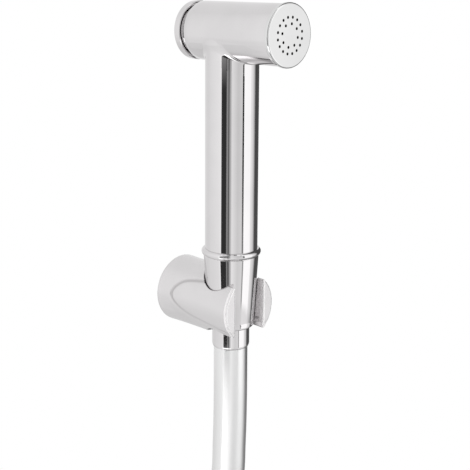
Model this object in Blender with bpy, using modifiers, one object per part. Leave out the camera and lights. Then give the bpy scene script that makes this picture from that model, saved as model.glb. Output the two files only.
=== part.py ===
"""Handheld bidet shower on its wall bracket, with its hose wound up below.

The origin is the middle of the bracket's wall face. +Y runs into the wall,
-Y is the way the spray face looks and +Z is up. All lengths are in metres.
"""

import math

import bmesh
import bpy
from mathutils import Matrix, Vector

# Gap between two pieces that touch, and between one that slides and its guide
CLEARANCE = 0.0003

# Wall bracket
WALL_TO_BORE = 0.032
BORE_TO_FRONT = 0.0115
FLANGE_RADIUS = 0.0151
FLANGE_RIM = 0.0012
FLARE_LENGTH = 0.030
WEB_HALF_WIDTH = 0.01405
WEB_HALF_HEIGHT = 0.0149
ARM_RADIUS = 0.01445
ARM_EDGE = 0.0007
SLOT_WIDTH = 0.0176
CORE_RADIUS = 0.0090
CORE_WALL = 0.0040

# Mounting plate and the screw that locks the bracket on it
PLATE_RADIUS = 0.0107
PLATE_THICKNESS = 0.0045
PLATE_HOLE_RADIUS = 0.0021
PLATE_HOLE_OFFSET = 0.0062
PLATE_SINK_RADIUS = 0.0038
GRUB_RADIUS = 0.0015
GRUB_TIP = 0.0009
GRUB_RECESS = 0.0006
GRUB_KEY_RADIUS = 0.0009
GRUB_KEY_DEPTH = 0.0016

# Conical hose nut, from its wide top to its small end
NUT_TOP_ABOVE_ARM = 0.0221
NUT_TOP_RADIUS = 0.0120
NUT_END_RADIUS = 0.00995
NUT_LENGTH = 0.0320
NUT_BAND = 0.0027
NUT_GROOVE = 0.0003
NUT_EDGE = 0.0008

# Handle, its bead and its threaded spigot
HANDLE_RADIUS = 0.01145
HANDLE_LENGTH = 0.0944
HANDLE_BORE_RADIUS = 0.0080
BEAD_RADIUS = 0.01295
BEAD_HEIGHT = 0.0030
SPIGOT_RADIUS = 0.01045

# Barrel of the head, measured from the handle's axis
BARREL_RADIUS = 0.0126
FRONT_REACH = 0.0321
REAR_REACH = 0.0225
BARREL_EDGE = 0.0009
BARREL_CHAMFER = 0.0013
CHAMBER_RADIUS = 0.0084
CHAMBER_MARGIN = 0.0009
FRONT_CHAMBER_RADIUS = 0.0104
SEAT_WEB = 0.0028
SEAT_HOLE_RADIUS = 0.0045
SEAT_LIP = 0.0005
SEAT_LIP_WIDTH = 0.0010

# Screwed spray face
FACE_RADIUS = 0.0131
FACE_RIM = 0.0019
FACE_THICKNESS = 0.0014
FACE_SKIRT_RADIUS = 0.0107
FACE_SKIRT_LENGTH = 0.0050
FACE_RECESS_RADIUS = 0.0084
FACE_EDGE = 0.0004
JET_RADIUS = 0.00055
JET_RINGS = ((16, 0.0073), (8, 0.0047))
JET_TURN = math.radians(11.25)

# Push button at the back
BUTTON_RADIUS = 0.0126
BUTTON_RIM = 0.0034
BUTTON_GAP = 0.0015
BUTTON_TRAVEL = 0.0012
BUTTON_EDGE = 0.0005
BUTTON_FACE = 0.0021
BUTTON_SKIRT_RADIUS = 0.0107
BUTTON_SKIRT_LENGTH = 0.0029
BUTTON_SKIRT_WALL = 0.0019
BUTTON_BOSS_RADIUS = 0.0042
BUTTON_BOSS_RECESS = 0.0010

# Gland bush that guides the spindle
GLAND_RADIUS = 0.0093
GLAND_LENGTH = 0.0041
GLAND_FLANGE = 0.0011

# Valve spindle, its washer and the retainer in front of it
SPINDLE_RADIUS = 0.0036
SPINDLE_NECK_RADIUS = 0.0020
SPINDLE_SHOULDER_RADIUS = 0.0030
SPINDLE_SHOULDER = 0.0012
SPINDLE_OVERHANG = 0.0017
SPINDLE_TAIL_RADIUS = 0.0019
SPINDLE_TAIL_LENGTH = 0.0024
SPINDLE_TIP_RADIUS = 0.0016
SPINDLE_TIP_END = 0.0008
WASHER_RADIUS = 0.0062
WASHER_THICKNESS = 0.0020
RETAINER_RADIUS = 0.0054
RETAINER_THICKNESS = 0.0015

# Return spring under the button
SPRING_RADIUS = 0.0065
SPRING_WIRE_RADIUS = 0.00045
SPRING_TURNS = 3

# Sealing rings, as the radius of the cord that each is made of
FACE_RING_RADIUS = 0.00045
GLAND_RING_RADIUS = 0.00055
SPINDLE_RING_RADIUS = 0.0005

# Hose and the fittings on its two ends
HOSE_RADIUS = 0.0075
FERRULE_WALL = 0.00045
FERRULE_LENGTH = 0.0237
FERRULE_CHAMFER = 0.0012
FERRULE_TOP = 0.0008
TAIL_BORE_RADIUS = 0.0040
TAIL_STEM_RADIUS = 0.0049
TAIL_STEM_LENGTH = 0.0180
TAIL_BARB = 0.0002
TAIL_BARBS = 2
TAIL_NECK_RADIUS = 0.0060
TAIL_FLANGE_RADIUS = 0.0099
TAIL_FLANGE = 0.0015
NUT_LIP = 0.0020
HOSE_WASHER_THICKNESS = 0.0020
HOSE_WASHER_BORE = 0.0060
HEX_FLATS = 0.0240
HEX_LENGTH = 0.0145
HEX_CHAMFER = 0.0009

# Coil that puts the spare hose away, on an axis parallel to Y
COIL_CENTRE = (0.006, -0.203)
COIL_RADIUS = 0.075
COIL_BACK = -0.016
COIL_PITCH = 0.0152
COIL_TURNS = 2.1667
COIL_CORNER = 0.0060
TIE_ANGLE = math.radians(150.0)
TIE_WIDTH = 0.012
TIE_THICKNESS = 0.0015
TIE_CORNER = 0.0060

# The hose from inside its upper ferrule into the coil
HOSE_ROUTE = (
    (0.0, -0.032, 0.0033),
    (0.0, -0.032, -0.0250),
    (0.0, -0.032, -0.0450),
    (-0.0002, -0.0317, -0.0650),
    (-0.0008, -0.0310, -0.0840),
    (-0.0030, -0.0282, -0.1000),
    (-0.0102, -0.0234, -0.1169),
    (-0.0190, -0.0193, -0.1281),
)

# The free end leaves the coil straight down: heights where that run begins and ends
END_RUN_TOP = -0.2360
END_RUN_FOOT = -0.2801

# Facets round each kind of turned piece
FINE = 48
MEDIUM = 32
SMALL = 20

NUT_TAPER = (NUT_TOP_RADIUS - NUT_END_RADIUS) / NUT_LENGTH
NUT_END_ABOVE_ARM = NUT_TOP_ABOVE_ARM - NUT_LENGTH
BEAD_MIDDLE = NUT_TOP_ABOVE_ARM + CLEARANCE + BEAD_HEIGHT / 2
BARREL_AXIS = Vector((0.0, -WALL_TO_BORE, BEAD_MIDDLE + HANDLE_LENGTH))
BORE_AXIS = Vector((0.0, -WALL_TO_BORE, 0.0))
FORWARD = (math.pi / 2, 0.0, 0.0)

# Fittings on a hose end, measured out from the end of the hose
FERRULE_RADIUS = HOSE_RADIUS + CLEARANCE + FERRULE_WALL
FERRULE_FRONT = CLEARANCE + FERRULE_TOP
NUT_LIP_BACK = FERRULE_FRONT + CLEARANCE
NUT_LIP_FRONT = NUT_LIP_BACK + NUT_LIP
TAIL_FLANGE_BACK = NUT_LIP_FRONT + CLEARANCE
TAIL_FLANGE_FRONT = TAIL_FLANGE_BACK + TAIL_FLANGE
HOSE_WASHER_BACK = TAIL_FLANGE_FRONT + CLEARANCE
HOSE_WASHER_FRONT = HOSE_WASHER_BACK + HOSE_WASHER_THICKNESS
HOSE_TOP = HOSE_ROUTE[0][2]
SPIGOT_END = HOSE_TOP + HOSE_WASHER_FRONT + CLEARANCE
END_RUN_AXIS = (COIL_CENTRE[0] - COIL_RADIUS, COIL_BACK - COIL_PITCH * COIL_TURNS)

# Stations along the barrel, forward of the handle's axis

BARREL_FRONT = FRONT_REACH - FACE_RIM - CLEARANCE
BARREL_REAR = -(REAR_REACH - BUTTON_RIM - BUTTON_GAP)
FACE_SKIRT_END = BARREL_FRONT + CLEARANCE - FACE_SKIRT_LENGTH
CHAMBER_HALF = HANDLE_BORE_RADIUS + CHAMBER_MARGIN
SEAT_FRONT = CHAMBER_HALF + SEAT_WEB
SEAT_LIP_FRONT = SEAT_FRONT + SEAT_LIP

BUTTON_BACK = -REAR_REACH
BUTTON_FLOOR = BUTTON_BACK + BUTTON_FACE
SKIRT_END = BUTTON_BACK + BUTTON_RIM + BUTTON_SKIRT_LENGTH

GLAND_END = -(CHAMBER_HALF + CLEARANCE)
GLAND_STEP = GLAND_END - GLAND_LENGTH
GLAND_BACK = GLAND_STEP - GLAND_FLANGE

WASHER_BACK = SEAT_LIP_FRONT + CLEARANCE
WASHER_FRONT = WASHER_BACK + WASHER_THICKNESS
RETAINER_BACK = WASHER_FRONT + CLEARANCE
RETAINER_FRONT = RETAINER_BACK + RETAINER_THICKNESS
SPINDLE_REAR = SKIRT_END - BUTTON_BOSS_RECESS
BOSS_END = SPINDLE_REAR - CLEARANCE


def clear_scene():
    for thing in list(bpy.data.objects):
        bpy.data.objects.remove(thing)


def new_collection(name):
    made = bpy.data.collections.new(name)
    bpy.context.scene.collection.children.link(made)
    return made


def finish(thing, colour, roughness, metallic):
    """Give a piece a material of its own."""
    material = bpy.data.materials.new(thing.name)
    material.use_nodes = True
    shader = material.node_tree.nodes["Principled BSDF"]
    shader.inputs["Base Color"].default_value = (*colour, 1.0)
    shader.inputs["Roughness"].default_value = roughness
    shader.inputs["Metallic"].default_value = metallic
    thing.data.materials.clear()
    thing.data.materials.append(material)


def chrome(thing):
    finish(thing, (0.80, 0.80, 0.81), 0.08, 1.0)


def brass(thing):
    finish(thing, (0.72, 0.55, 0.26), 0.30, 1.0)


def rubber(thing):
    finish(thing, (0.03, 0.03, 0.03), 0.60, 0.0)


def hose_plastic(thing):
    finish(thing, (0.62, 0.63, 0.65), 0.30, 0.6)


def add_object(name, data, place=(0.0, 0.0, 0.0), turn=(0.0, 0.0, 0.0)):
    thing = bpy.data.objects.new(name, data)
    thing.location = place
    thing.rotation_euler = turn
    PARTS.objects.link(thing)
    return thing


def as_cutter(thing):
    """Move a shape to the cutters, where it is only a guide."""
    for owner in list(thing.users_collection):
        owner.objects.unlink(thing)
    CUTTERS.objects.link(thing)
    thing.hide_render = True
    thing.display_type = "WIRE"
    return thing


def turned(name, profile, place=(0.0, 0.0, 0.0), turn=(0.0, 0.0, 0.0), facets=MEDIUM):
    """A turned piece: (radius, height) points down its outer side, then up its bore if it has one."""
    mesh = bpy.data.meshes.new(name)
    points = [(radius, 0.0, height) for radius, height in profile]
    edges = [(i, i + 1) for i in range(len(points) - 1)]
    if profile[0][0] > 0.0:
        edges.append((len(points) - 1, 0))
    mesh.from_pydata(points, edges, [])
    thing = add_object(name, mesh, place, turn)
    screw = thing.modifiers.new("turn", "SCREW")
    screw.axis = "Z"
    screw.angle = 2 * math.pi
    screw.steps = facets
    screw.render_steps = facets
    screw.use_merge_vertices = True
    screw.merge_threshold = 0.00001
    screw.use_smooth_shade = True
    return thing


def tube_profile(outer, inner, top, bottom, edge=0.0):
    """The section of a plain sleeve, with its outer corners broken by edge."""
    return [
        (outer - edge, top),
        (outer, top - edge),
        (outer, bottom + edge),
        (outer - edge, bottom),
        (inner, bottom),
        (inner, top),
    ]


def arc(centre, radius, start, end, steps):
    """(radius, height) points along an arc, angles in degrees."""
    angles = [math.radians(start + (end - start) * i / steps) for i in range(steps + 1)]
    return [(centre[0] + radius * math.cos(a), centre[1] + radius * math.sin(a)) for a in angles]


def box(name, low, high):
    middle = (Vector(low) + Vector(high)) / 2
    size = Vector(high) - Vector(low)
    shape = bmesh.new()
    stretch = Matrix.Diagonal((*size, 1.0))
    bmesh.ops.create_cube(shape, size=1.0, matrix=Matrix.Translation(middle) @ stretch)
    mesh = bpy.data.meshes.new(name)
    shape.to_mesh(mesh)
    shape.free()
    return add_object(name, mesh)


def rod(name, radius, length, place, turn=(0.0, 0.0, 0.0), facets=SMALL, tip=None):
    """A straight rod from place along its own +Z, which can narrow to tip."""
    shape = bmesh.new()
    bmesh.ops.create_cone(
        shape,
        cap_ends=True,
        segments=facets,
        radius1=radius,
        radius2=radius if tip is None else tip,
        depth=length,
        matrix=Matrix.Translation((0.0, 0.0, length / 2)),
    )
    mesh = bpy.data.meshes.new(name)
    shape.to_mesh(mesh)
    shape.free()
    return add_object(name, mesh, place, turn)


def ring(name, major, minor, place, turn=(0.0, 0.0, 0.0)):
    """A rubber sealing ring round its own Z axis."""
    bpy.ops.mesh.primitive_torus_add(
        major_radius=major, minor_radius=minor, major_segments=SMALL + 4, minor_segments=6
    )
    thing = bpy.context.object
    thing.name = name
    thing.location = place
    thing.rotation_euler = turn
    for owner in list(thing.users_collection):
        owner.objects.unlink(thing)
    PARTS.objects.link(thing)
    rubber(thing)
    return thing


def boolean(thing, other, operation):
    step = thing.modifiers.new(operation.lower(), "BOOLEAN")
    step.operation = operation
    step.solver = "EXACT"
    step.object = as_cutter(other)


def cut(thing, *cutters):
    for cutter in cutters:
        boolean(thing, cutter, "DIFFERENCE")


def from_curve(curve_thing):
    """Swap a curve object for the closed mesh that it makes."""
    name = curve_thing.name
    graph = bpy.context.evaluated_depsgraph_get()
    mesh = bpy.data.meshes.new_from_object(curve_thing.evaluated_get(graph))
    shape = bmesh.new()
    shape.from_mesh(mesh)
    bmesh.ops.remove_doubles(shape, verts=shape.verts, dist=0.000001)
    shape.to_mesh(mesh)
    shape.free()
    place = curve_thing.matrix_world.copy()
    bpy.data.objects.remove(curve_thing)
    thing = add_object(name, mesh)
    thing.matrix_world = place
    return thing


def wire(name, points, radius, resolution=2):
    """A round wire or hose along the points, as a closed mesh."""
    curve = bpy.data.curves.new(name, "CURVE")
    curve.dimensions = "3D"
    curve.bevel_depth = radius
    curve.bevel_resolution = resolution
    curve.use_fill_caps = True
    spline = curve.splines.new("POLY")
    spline.points.add(len(points) - 1)
    for spot, point in zip(spline.points, points):
        spot.co = (*point, 1.0)
    thing = add_object(name, curve)
    bpy.context.view_layer.update()
    return from_curve(thing)


def smooth_route(points, spacing):
    """Points a set distance apart on the smooth curve through the route's own points."""
    route = [Vector(p) for p in points]
    ends = [2 * route[0] - route[1], *route, 2 * route[-1] - route[-2]]
    fine = []
    for before, start, end, after in zip(ends, ends[1:], ends[2:], ends[3:]):
        for i in range(20):
            t = i / 20
            fine.append(
                0.5
                * (
                    2 * start
                    + (end - before) * t
                    + (2 * before - 5 * start + 4 * end - after) * t**2
                    + (3 * start - before - 3 * end + after) * t**3
                )
            )
    fine.append(route[-1])
    length = sum((b - a).length for a, b in zip(fine, fine[1:]))
    count = max(2, round(length / spacing))
    even, walked, target = [fine[0]], 0.0, 1
    for a, b in zip(fine, fine[1:]):
        step = (b - a).length
        while target < count and walked + step >= target * length / count:
            even.append(a.lerp(b, (target * length / count - walked) / step))
            target += 1
        walked += step
    return [*even, fine[-1]]


def make_wall_bracket():
    """One moulding: a flared foot on the wall and a round arm with a tapered bore and a front slot."""
    front = -(WALL_TO_BORE + BORE_TO_FRONT)
    foot = make_foot(front)
    boolean(
        foot,
        turned(
            "arm",
            [
                (0.0, -front),
                (ARM_RADIUS - ARM_EDGE, -front),
                (ARM_RADIUS, -front - ARM_EDGE),
                (ARM_RADIUS, FLANGE_RIM),
                (0.0, FLANGE_RIM),
            ],
            turn=FORWARD,
            facets=FINE,
        ),
        "UNION",
    )
    above = NUT_TOP_RADIUS
    below = 2 * ARM_RADIUS
    top = NUT_TOP_ABOVE_ARM + above
    bore = turned(
        "bracket_bore",
        [
            (0.0, top),
            (bore_radius(top), top),
            (bore_radius(-below), -below),
            (0.0, -below),
        ],
        place=BORE_AXIS,
        facets=FINE,
    )
    slot = box(
        "bracket_slot",
        (-SLOT_WIDTH / 2, front - ARM_RADIUS, -below),
        (SLOT_WIDTH / 2, -WALL_TO_BORE, top),
    )
    recess_depth = PLATE_THICKNESS + CLEARANCE
    core_depth = WALL_TO_BORE - bore_radius(0.0) - CORE_WALL
    recess = turned(
        "bracket_recess",
        [
            (0.0, core_depth),
            (CORE_RADIUS, core_depth),
            (CORE_RADIUS, recess_depth),
            (PLATE_RADIUS + CLEARANCE, recess_depth),
            (PLATE_RADIUS + CLEARANCE, -FLANGE_RIM),
            (0.0, -FLANGE_RIM),
        ],
        turn=FORWARD,
        facets=FINE,
    )
    screw_hole = rod(
        "bracket_screw_hole",
        GRUB_RADIUS + CLEARANCE,
        FLANGE_RADIUS,
        (0.0, -PLATE_THICKNESS / 2, -FLANGE_RADIUS - PLATE_RADIUS / 2),
    )
    cut(foot, bore, slot, recess, screw_hole)
    chrome(foot)


def bore_radius(height):
    """The bracket's bore follows the nut's taper, a clearance away."""
    return NUT_TOP_RADIUS + CLEARANCE - (NUT_TOP_ABOVE_ARM - height) * NUT_TAPER


def make_foot(front):
    """Loft from the round flange to the taller than wide section that the arm swells out of."""
    stations = [0.0, FLANGE_RIM]
    flare_steps = 7
    stations += [FLANGE_RIM + FLARE_LENGTH * i / flare_steps for i in range(1, flare_steps + 1)]
    stations.append(-front)
    shape = bmesh.new()
    loops = []
    for station in stations:
        rest = max(0.0, 1.0 - max(0.0, station - FLANGE_RIM) / FLARE_LENGTH)
        wide = WEB_HALF_WIDTH + (FLANGE_RADIUS - WEB_HALF_WIDTH) * rest**4
        tall = WEB_HALF_HEIGHT + (FLANGE_RADIUS - WEB_HALF_HEIGHT) * rest**4
        angles = [2 * math.pi * (i + 0.5) / FINE for i in range(FINE)]
        loops.append(
            [shape.verts.new((wide * math.cos(a), -station, tall * math.sin(a))) for a in angles]
        )
    for back, near in zip(loops, loops[1:]):
        for i in range(FINE):
            j = (i + 1) % FINE
            shape.faces.new((back[i], back[j], near[j], near[i]))
    shape.faces.new(reversed(loops[0]))
    shape.faces.new(loops[-1])
    bmesh.ops.recalc_face_normals(shape, faces=shape.faces)
    mesh = bpy.data.meshes.new("wall_bracket")
    shape.to_mesh(mesh)
    shape.free()
    return add_object("wall_bracket", mesh)


def make_mounting_plate():
    """The disc that is screwed to the wall; its two countersunk holes lie side by side."""
    plate = turned(
        "mounting_plate",
        [(0.0, PLATE_THICKNESS), (PLATE_RADIUS, PLATE_THICKNESS), (PLATE_RADIUS, 0.0), (0.0, 0.0)],
        turn=FORWARD,
        facets=FINE,
    )
    sink = PLATE_SINK_RADIUS - PLATE_HOLE_RADIUS
    for side in (-1, 1):
        hole = turned(
            f"plate_hole_{side + 2}",
            [
                (0.0, PLATE_THICKNESS + sink),
                (PLATE_SINK_RADIUS + sink, PLATE_THICKNESS + sink),
                (PLATE_HOLE_RADIUS, PLATE_THICKNESS - sink),
                (PLATE_HOLE_RADIUS, -sink),
                (0.0, -sink),
            ],
            place=(side * PLATE_HOLE_OFFSET, 0.0, 0.0),
            turn=FORWARD,
            facets=SMALL,
        )
        cut(plate, hole)
    dimple = rod(
        "plate_dimple",
        GRUB_RADIUS + CLEARANCE,
        2 * GRUB_TIP,
        (0.0, -PLATE_THICKNESS / 2, -PLATE_RADIUS - GRUB_TIP + CLEARANCE),
        tip=GRUB_RADIUS / 2 + CLEARANCE,
    )
    cut(plate, dimple)
    finish(plate, (0.60, 0.60, 0.61), 0.35, 1.0)


def make_bracket_screw():
    """Grub screw under the flange, with its point in the plate's dimple."""
    low = -FLANGE_RADIUS + GRUB_RECESS
    high = -PLATE_RADIUS - CLEARANCE
    screw = turned(
        "bracket_screw",
        [
            (0.0, high + GRUB_TIP - CLEARANCE),
            (GRUB_RADIUS / 2, high + GRUB_TIP - CLEARANCE),
            (GRUB_RADIUS, high),
            (GRUB_RADIUS, low),
            (0.0, low),
        ],
        place=(0.0, -PLATE_THICKNESS / 2, 0.0),
        facets=SMALL,
    )
    key = rod(
        "bracket_screw_key",
        GRUB_KEY_RADIUS,
        2 * GRUB_KEY_DEPTH,
        (0.0, -PLATE_THICKNESS / 2, low - GRUB_KEY_DEPTH),
        facets=6,
    )
    cut(screw, key)
    finish(screw, (0.35, 0.35, 0.36), 0.35, 1.0)


def make_handset_body():
    """One brass casting: barrel, handle, bead and threaded spigot, bored from both ends."""
    body = turned(
        "handset_body",
        [
            (0.0, BARREL_FRONT),
            (BARREL_RADIUS, BARREL_FRONT),
            (BARREL_RADIUS, BARREL_REAR + BARREL_CHAMFER),
            (BARREL_RADIUS - BARREL_EDGE, BARREL_REAR),
            (0.0, BARREL_REAR),
        ],
        place=BARREL_AXIS,
        turn=FORWARD,
        facets=FINE,
    )
    bead_reach = BEAD_RADIUS - HANDLE_RADIUS
    bead = [
        (HANDLE_RADIUS + reach * bead_reach, BEAD_MIDDLE + height * BEAD_HEIGHT / 2)
        for reach, height in arc((0.0, 0.0), 1.0, 90.0, -90.0, 6)
    ]
    handle = turned(
        "handle",
        [
            (0.0, BARREL_AXIS.z),
            (HANDLE_RADIUS, BARREL_AXIS.z),
            *bead,
            (SPIGOT_RADIUS, BEAD_MIDDLE - BEAD_HEIGHT / 2),
            (SPIGOT_RADIUS, SPIGOT_END),
            (0.0, SPIGOT_END),
        ],
        place=BORE_AXIS,
        facets=FINE,
    )
    boolean(body, handle, "UNION")
    front_bore = FACE_SKIRT_RADIUS + CLEARANCE
    rear_bore = BUTTON_SKIRT_RADIUS + CLEARANCE
    gland_bore = GLAND_RADIUS + CLEARANCE
    waterway = turned(
        "barrel_bores",
        [
            (0.0, FRONT_REACH),
            (front_bore, FRONT_REACH),
            (front_bore, FACE_SKIRT_END - CLEARANCE),
            (FRONT_CHAMBER_RADIUS, FACE_SKIRT_END - CLEARANCE),
            (FRONT_CHAMBER_RADIUS, SEAT_FRONT),
            (SEAT_HOLE_RADIUS + SEAT_LIP_WIDTH, SEAT_FRONT),
            (SEAT_HOLE_RADIUS + SEAT_LIP_WIDTH, SEAT_LIP_FRONT),
            (SEAT_HOLE_RADIUS, SEAT_LIP_FRONT),
            (SEAT_HOLE_RADIUS, CHAMBER_HALF),
            (CHAMBER_RADIUS, CHAMBER_HALF),
            (CHAMBER_RADIUS, -CHAMBER_HALF),
            (gland_bore, -CHAMBER_HALF),
            (gland_bore, GLAND_STEP + CLEARANCE),
            (rear_bore, GLAND_STEP + CLEARANCE),
            (rear_bore, -REAR_REACH),
            (0.0, -REAR_REACH),
        ],
        place=BARREL_AXIS,
        turn=FORWARD,
        facets=MEDIUM,
    )
    inlet = rod(
        "handle_bore",
        HANDLE_BORE_RADIUS,
        BARREL_AXIS.z - SPIGOT_END + BEAD_HEIGHT,
        BORE_AXIS + Vector((0.0, 0.0, SPIGOT_END - BEAD_HEIGHT)),
        facets=MEDIUM,
    )
    cut(body, waterway, inlet)
    chrome(body)


def make_spray_face():
    """Screwed cap with its ring of jets, and the sealing ring on its skirt."""
    groove = 2 * FACE_RING_RADIUS + 2 * CLEARANCE
    groove_floor = FACE_SKIRT_RADIUS - groove + CLEARANCE
    groove_middle = FACE_SKIRT_END + FACE_SKIRT_LENGTH / 2
    back = BARREL_FRONT + CLEARANCE
    face = turned(
        "spray_face",
        [
            (0.0, FRONT_REACH),
            (FACE_RADIUS - FACE_EDGE, FRONT_REACH),
            (FACE_RADIUS, FRONT_REACH - FACE_EDGE),
            (FACE_RADIUS, back),
            (FACE_SKIRT_RADIUS, back),
            (FACE_SKIRT_RADIUS, groove_middle + groove / 2),
            (groove_floor, groove_middle + groove / 2),
            (groove_floor, groove_middle - groove / 2),
            (FACE_SKIRT_RADIUS, groove_middle - groove / 2),
            (FACE_SKIRT_RADIUS, FACE_SKIRT_END),
            (FACE_RECESS_RADIUS, FACE_SKIRT_END),
            (FACE_RECESS_RADIUS, FRONT_REACH - FACE_THICKNESS),
            (0.0, FRONT_REACH - FACE_THICKNESS),
        ],
        place=BARREL_AXIS,
        turn=FORWARD,
        facets=FINE,
    )
    jets = bmesh.new()
    for count, radius in JET_RINGS:
        for i in range(count):
            around = JET_TURN + 2 * math.pi * i / count
            middle = FRONT_REACH - FACE_THICKNESS / 2
            spot = (radius * math.sin(around), radius * math.cos(around), middle)
            bmesh.ops.create_cone(
                jets,
                cap_ends=True,
                segments=8,
                radius1=JET_RADIUS,
                radius2=JET_RADIUS,
                depth=2 * FACE_THICKNESS,
                matrix=Matrix.Translation(spot),
            )
    mesh = bpy.data.meshes.new("jets")
    jets.to_mesh(mesh)
    jets.free()
    cut(face, add_object("jets", mesh, BARREL_AXIS, FORWARD))
    chrome(face)
    ring(
        "face_seal",
        groove_floor + CLEARANCE + FACE_RING_RADIUS,
        FACE_RING_RADIUS,
        BARREL_AXIS + Vector((0.0, -groove_middle, 0.0)),
        FORWARD,
    )


def make_push_button():
    """Thumb button: a cup whose skirt slides in the barrel's rear socket."""
    skirt_inner = BUTTON_SKIRT_RADIUS - BUTTON_SKIRT_WALL
    rim_front = BUTTON_BACK + BUTTON_RIM
    tail_hole = SPINDLE_TAIL_RADIUS + CLEARANCE
    hole_floor = SPINDLE_REAR - SPINDLE_TAIL_LENGTH - CLEARANCE
    button = turned(
        "push_button",
        [
            (0.0, hole_floor),
            (tail_hole, hole_floor),
            (tail_hole, BOSS_END),
            (BUTTON_BOSS_RADIUS, BOSS_END),
            (BUTTON_BOSS_RADIUS, BUTTON_FLOOR),
            (skirt_inner, BUTTON_FLOOR),
            (skirt_inner, SKIRT_END),
            (BUTTON_SKIRT_RADIUS, SKIRT_END),
            (BUTTON_SKIRT_RADIUS, rim_front),
            (BUTTON_RADIUS - BUTTON_EDGE, rim_front),
            (BUTTON_RADIUS, rim_front - BUTTON_EDGE),
            (BUTTON_RADIUS, BUTTON_BACK + BUTTON_EDGE),
            (BUTTON_RADIUS - BUTTON_EDGE, BUTTON_BACK),
            (0.0, BUTTON_BACK),
        ],
        place=BARREL_AXIS,
        turn=FORWARD,
        facets=FINE,
    )
    chrome(button)


def make_gland():
    """Bush that closes the chamber's rear and guides the spindle, with its sealing ring."""
    bore = SPINDLE_RADIUS + CLEARANCE
    flange = BUTTON_SKIRT_RADIUS
    groove = 2 * GLAND_RING_RADIUS + 2 * CLEARANCE
    groove_floor = GLAND_RADIUS - groove + CLEARANCE
    middle = (GLAND_STEP + GLAND_END) / 2
    bush = turned(
        "gland_bush",
        [
            (GLAND_RADIUS, GLAND_END),
            (GLAND_RADIUS, middle + groove / 2),
            (groove_floor, middle + groove / 2),
            (groove_floor, middle - groove / 2),
            (GLAND_RADIUS, middle - groove / 2),
            (GLAND_RADIUS, GLAND_STEP),
            (flange, GLAND_STEP),
            (flange, GLAND_BACK),
            (bore, GLAND_BACK),
            (bore, GLAND_END),
        ],
        place=BARREL_AXIS,
        turn=FORWARD,
    )
    brass(bush)
    ring(
        "gland_seal",
        groove_floor + CLEARANCE + GLAND_RING_RADIUS,
        GLAND_RING_RADIUS,
        BARREL_AXIS + Vector((0.0, -middle, 0.0)),
        FORWARD,
    )


def make_valve():
    """Spindle, its sealing ring, the valve washer in front of the seat and its retainer."""
    groove = 2 * SPINDLE_RING_RADIUS + 2 * CLEARANCE
    groove_floor = SPINDLE_RADIUS - groove + CLEARANCE
    middle = (GLAND_STEP + GLAND_END) / 2 - BUTTON_TRAVEL / 2
    guide_front = GLAND_END + SPINDLE_OVERHANG
    shoulder_front = WASHER_BACK - CLEARANCE
    spindle = turned(
        "valve_spindle",
        [
            (0.0, RETAINER_FRONT + SPINDLE_TIP_END),
            (SPINDLE_TIP_RADIUS, RETAINER_FRONT + SPINDLE_TIP_END),
            (SPINDLE_TIP_RADIUS, shoulder_front),
            (SPINDLE_SHOULDER_RADIUS, shoulder_front),
            (SPINDLE_SHOULDER_RADIUS, shoulder_front - SPINDLE_SHOULDER),
            (SPINDLE_NECK_RADIUS, shoulder_front - 2 * SPINDLE_SHOULDER),
            (SPINDLE_NECK_RADIUS, guide_front + SPINDLE_OVERHANG),
            (SPINDLE_RADIUS, guide_front),
            (SPINDLE_RADIUS, middle + groove / 2),
            (groove_floor, middle + groove / 2),
            (groove_floor, middle - groove / 2),
            (SPINDLE_RADIUS, middle - groove / 2),
            (SPINDLE_RADIUS, SPINDLE_REAR),
            (SPINDLE_TAIL_RADIUS, SPINDLE_REAR),
            (SPINDLE_TAIL_RADIUS, SPINDLE_REAR - SPINDLE_TAIL_LENGTH),
            (0.0, SPINDLE_REAR - SPINDLE_TAIL_LENGTH),
        ],
        place=BARREL_AXIS,
        turn=FORWARD,
        facets=SMALL,
    )
    brass(spindle)
    ring(
        "spindle_seal",
        groove_floor + CLEARANCE + SPINDLE_RING_RADIUS,
        SPINDLE_RING_RADIUS,
        BARREL_AXIS + Vector((0.0, -middle, 0.0)),
        FORWARD,
    )
    hole = SPINDLE_TIP_RADIUS + CLEARANCE
    washer = turned(
        "valve_washer",
        tube_profile(WASHER_RADIUS, hole, WASHER_FRONT, WASHER_BACK),
        place=BARREL_AXIS,
        turn=FORWARD,
    )
    rubber(washer)
    retainer = turned(
        "valve_retainer",
        tube_profile(RETAINER_RADIUS, hole, RETAINER_FRONT, RETAINER_BACK, FACE_EDGE),
        place=BARREL_AXIS,
        turn=FORWARD,
        facets=SMALL,
    )
    brass(retainer)


def make_return_spring():
    """Coil spring between the gland's flange and the floor of the button."""
    seat = CLEARANCE + SPRING_WIRE_RADIUS
    start, end = BUTTON_FLOOR + seat, GLAND_BACK - seat
    count = SPRING_TURNS * 12
    points = []
    for i in range(count + 1):
        around = 2 * math.pi * SPRING_TURNS * i / count
        points.append(
            BARREL_AXIS
            + Vector(
                (
                    SPRING_RADIUS * math.cos(around),
                    -(start + (end - start) * i / count),
                    SPRING_RADIUS * math.sin(around),
                )
            )
        )
    spring = wire("return_spring", points, SPRING_WIRE_RADIUS)
    finish(spring, (0.55, 0.55, 0.56), 0.25, 1.0)


def fitting_place(side):
    """Where a hose end's fittings sit: their own +Z runs out of the hose."""
    if side == "upper":
        return (0.0, -WALL_TO_BORE, HOSE_TOP), (0.0, 0.0, 0.0)
    return (*END_RUN_AXIS, END_RUN_FOOT), (math.pi, 0.0, 0.0)


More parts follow.
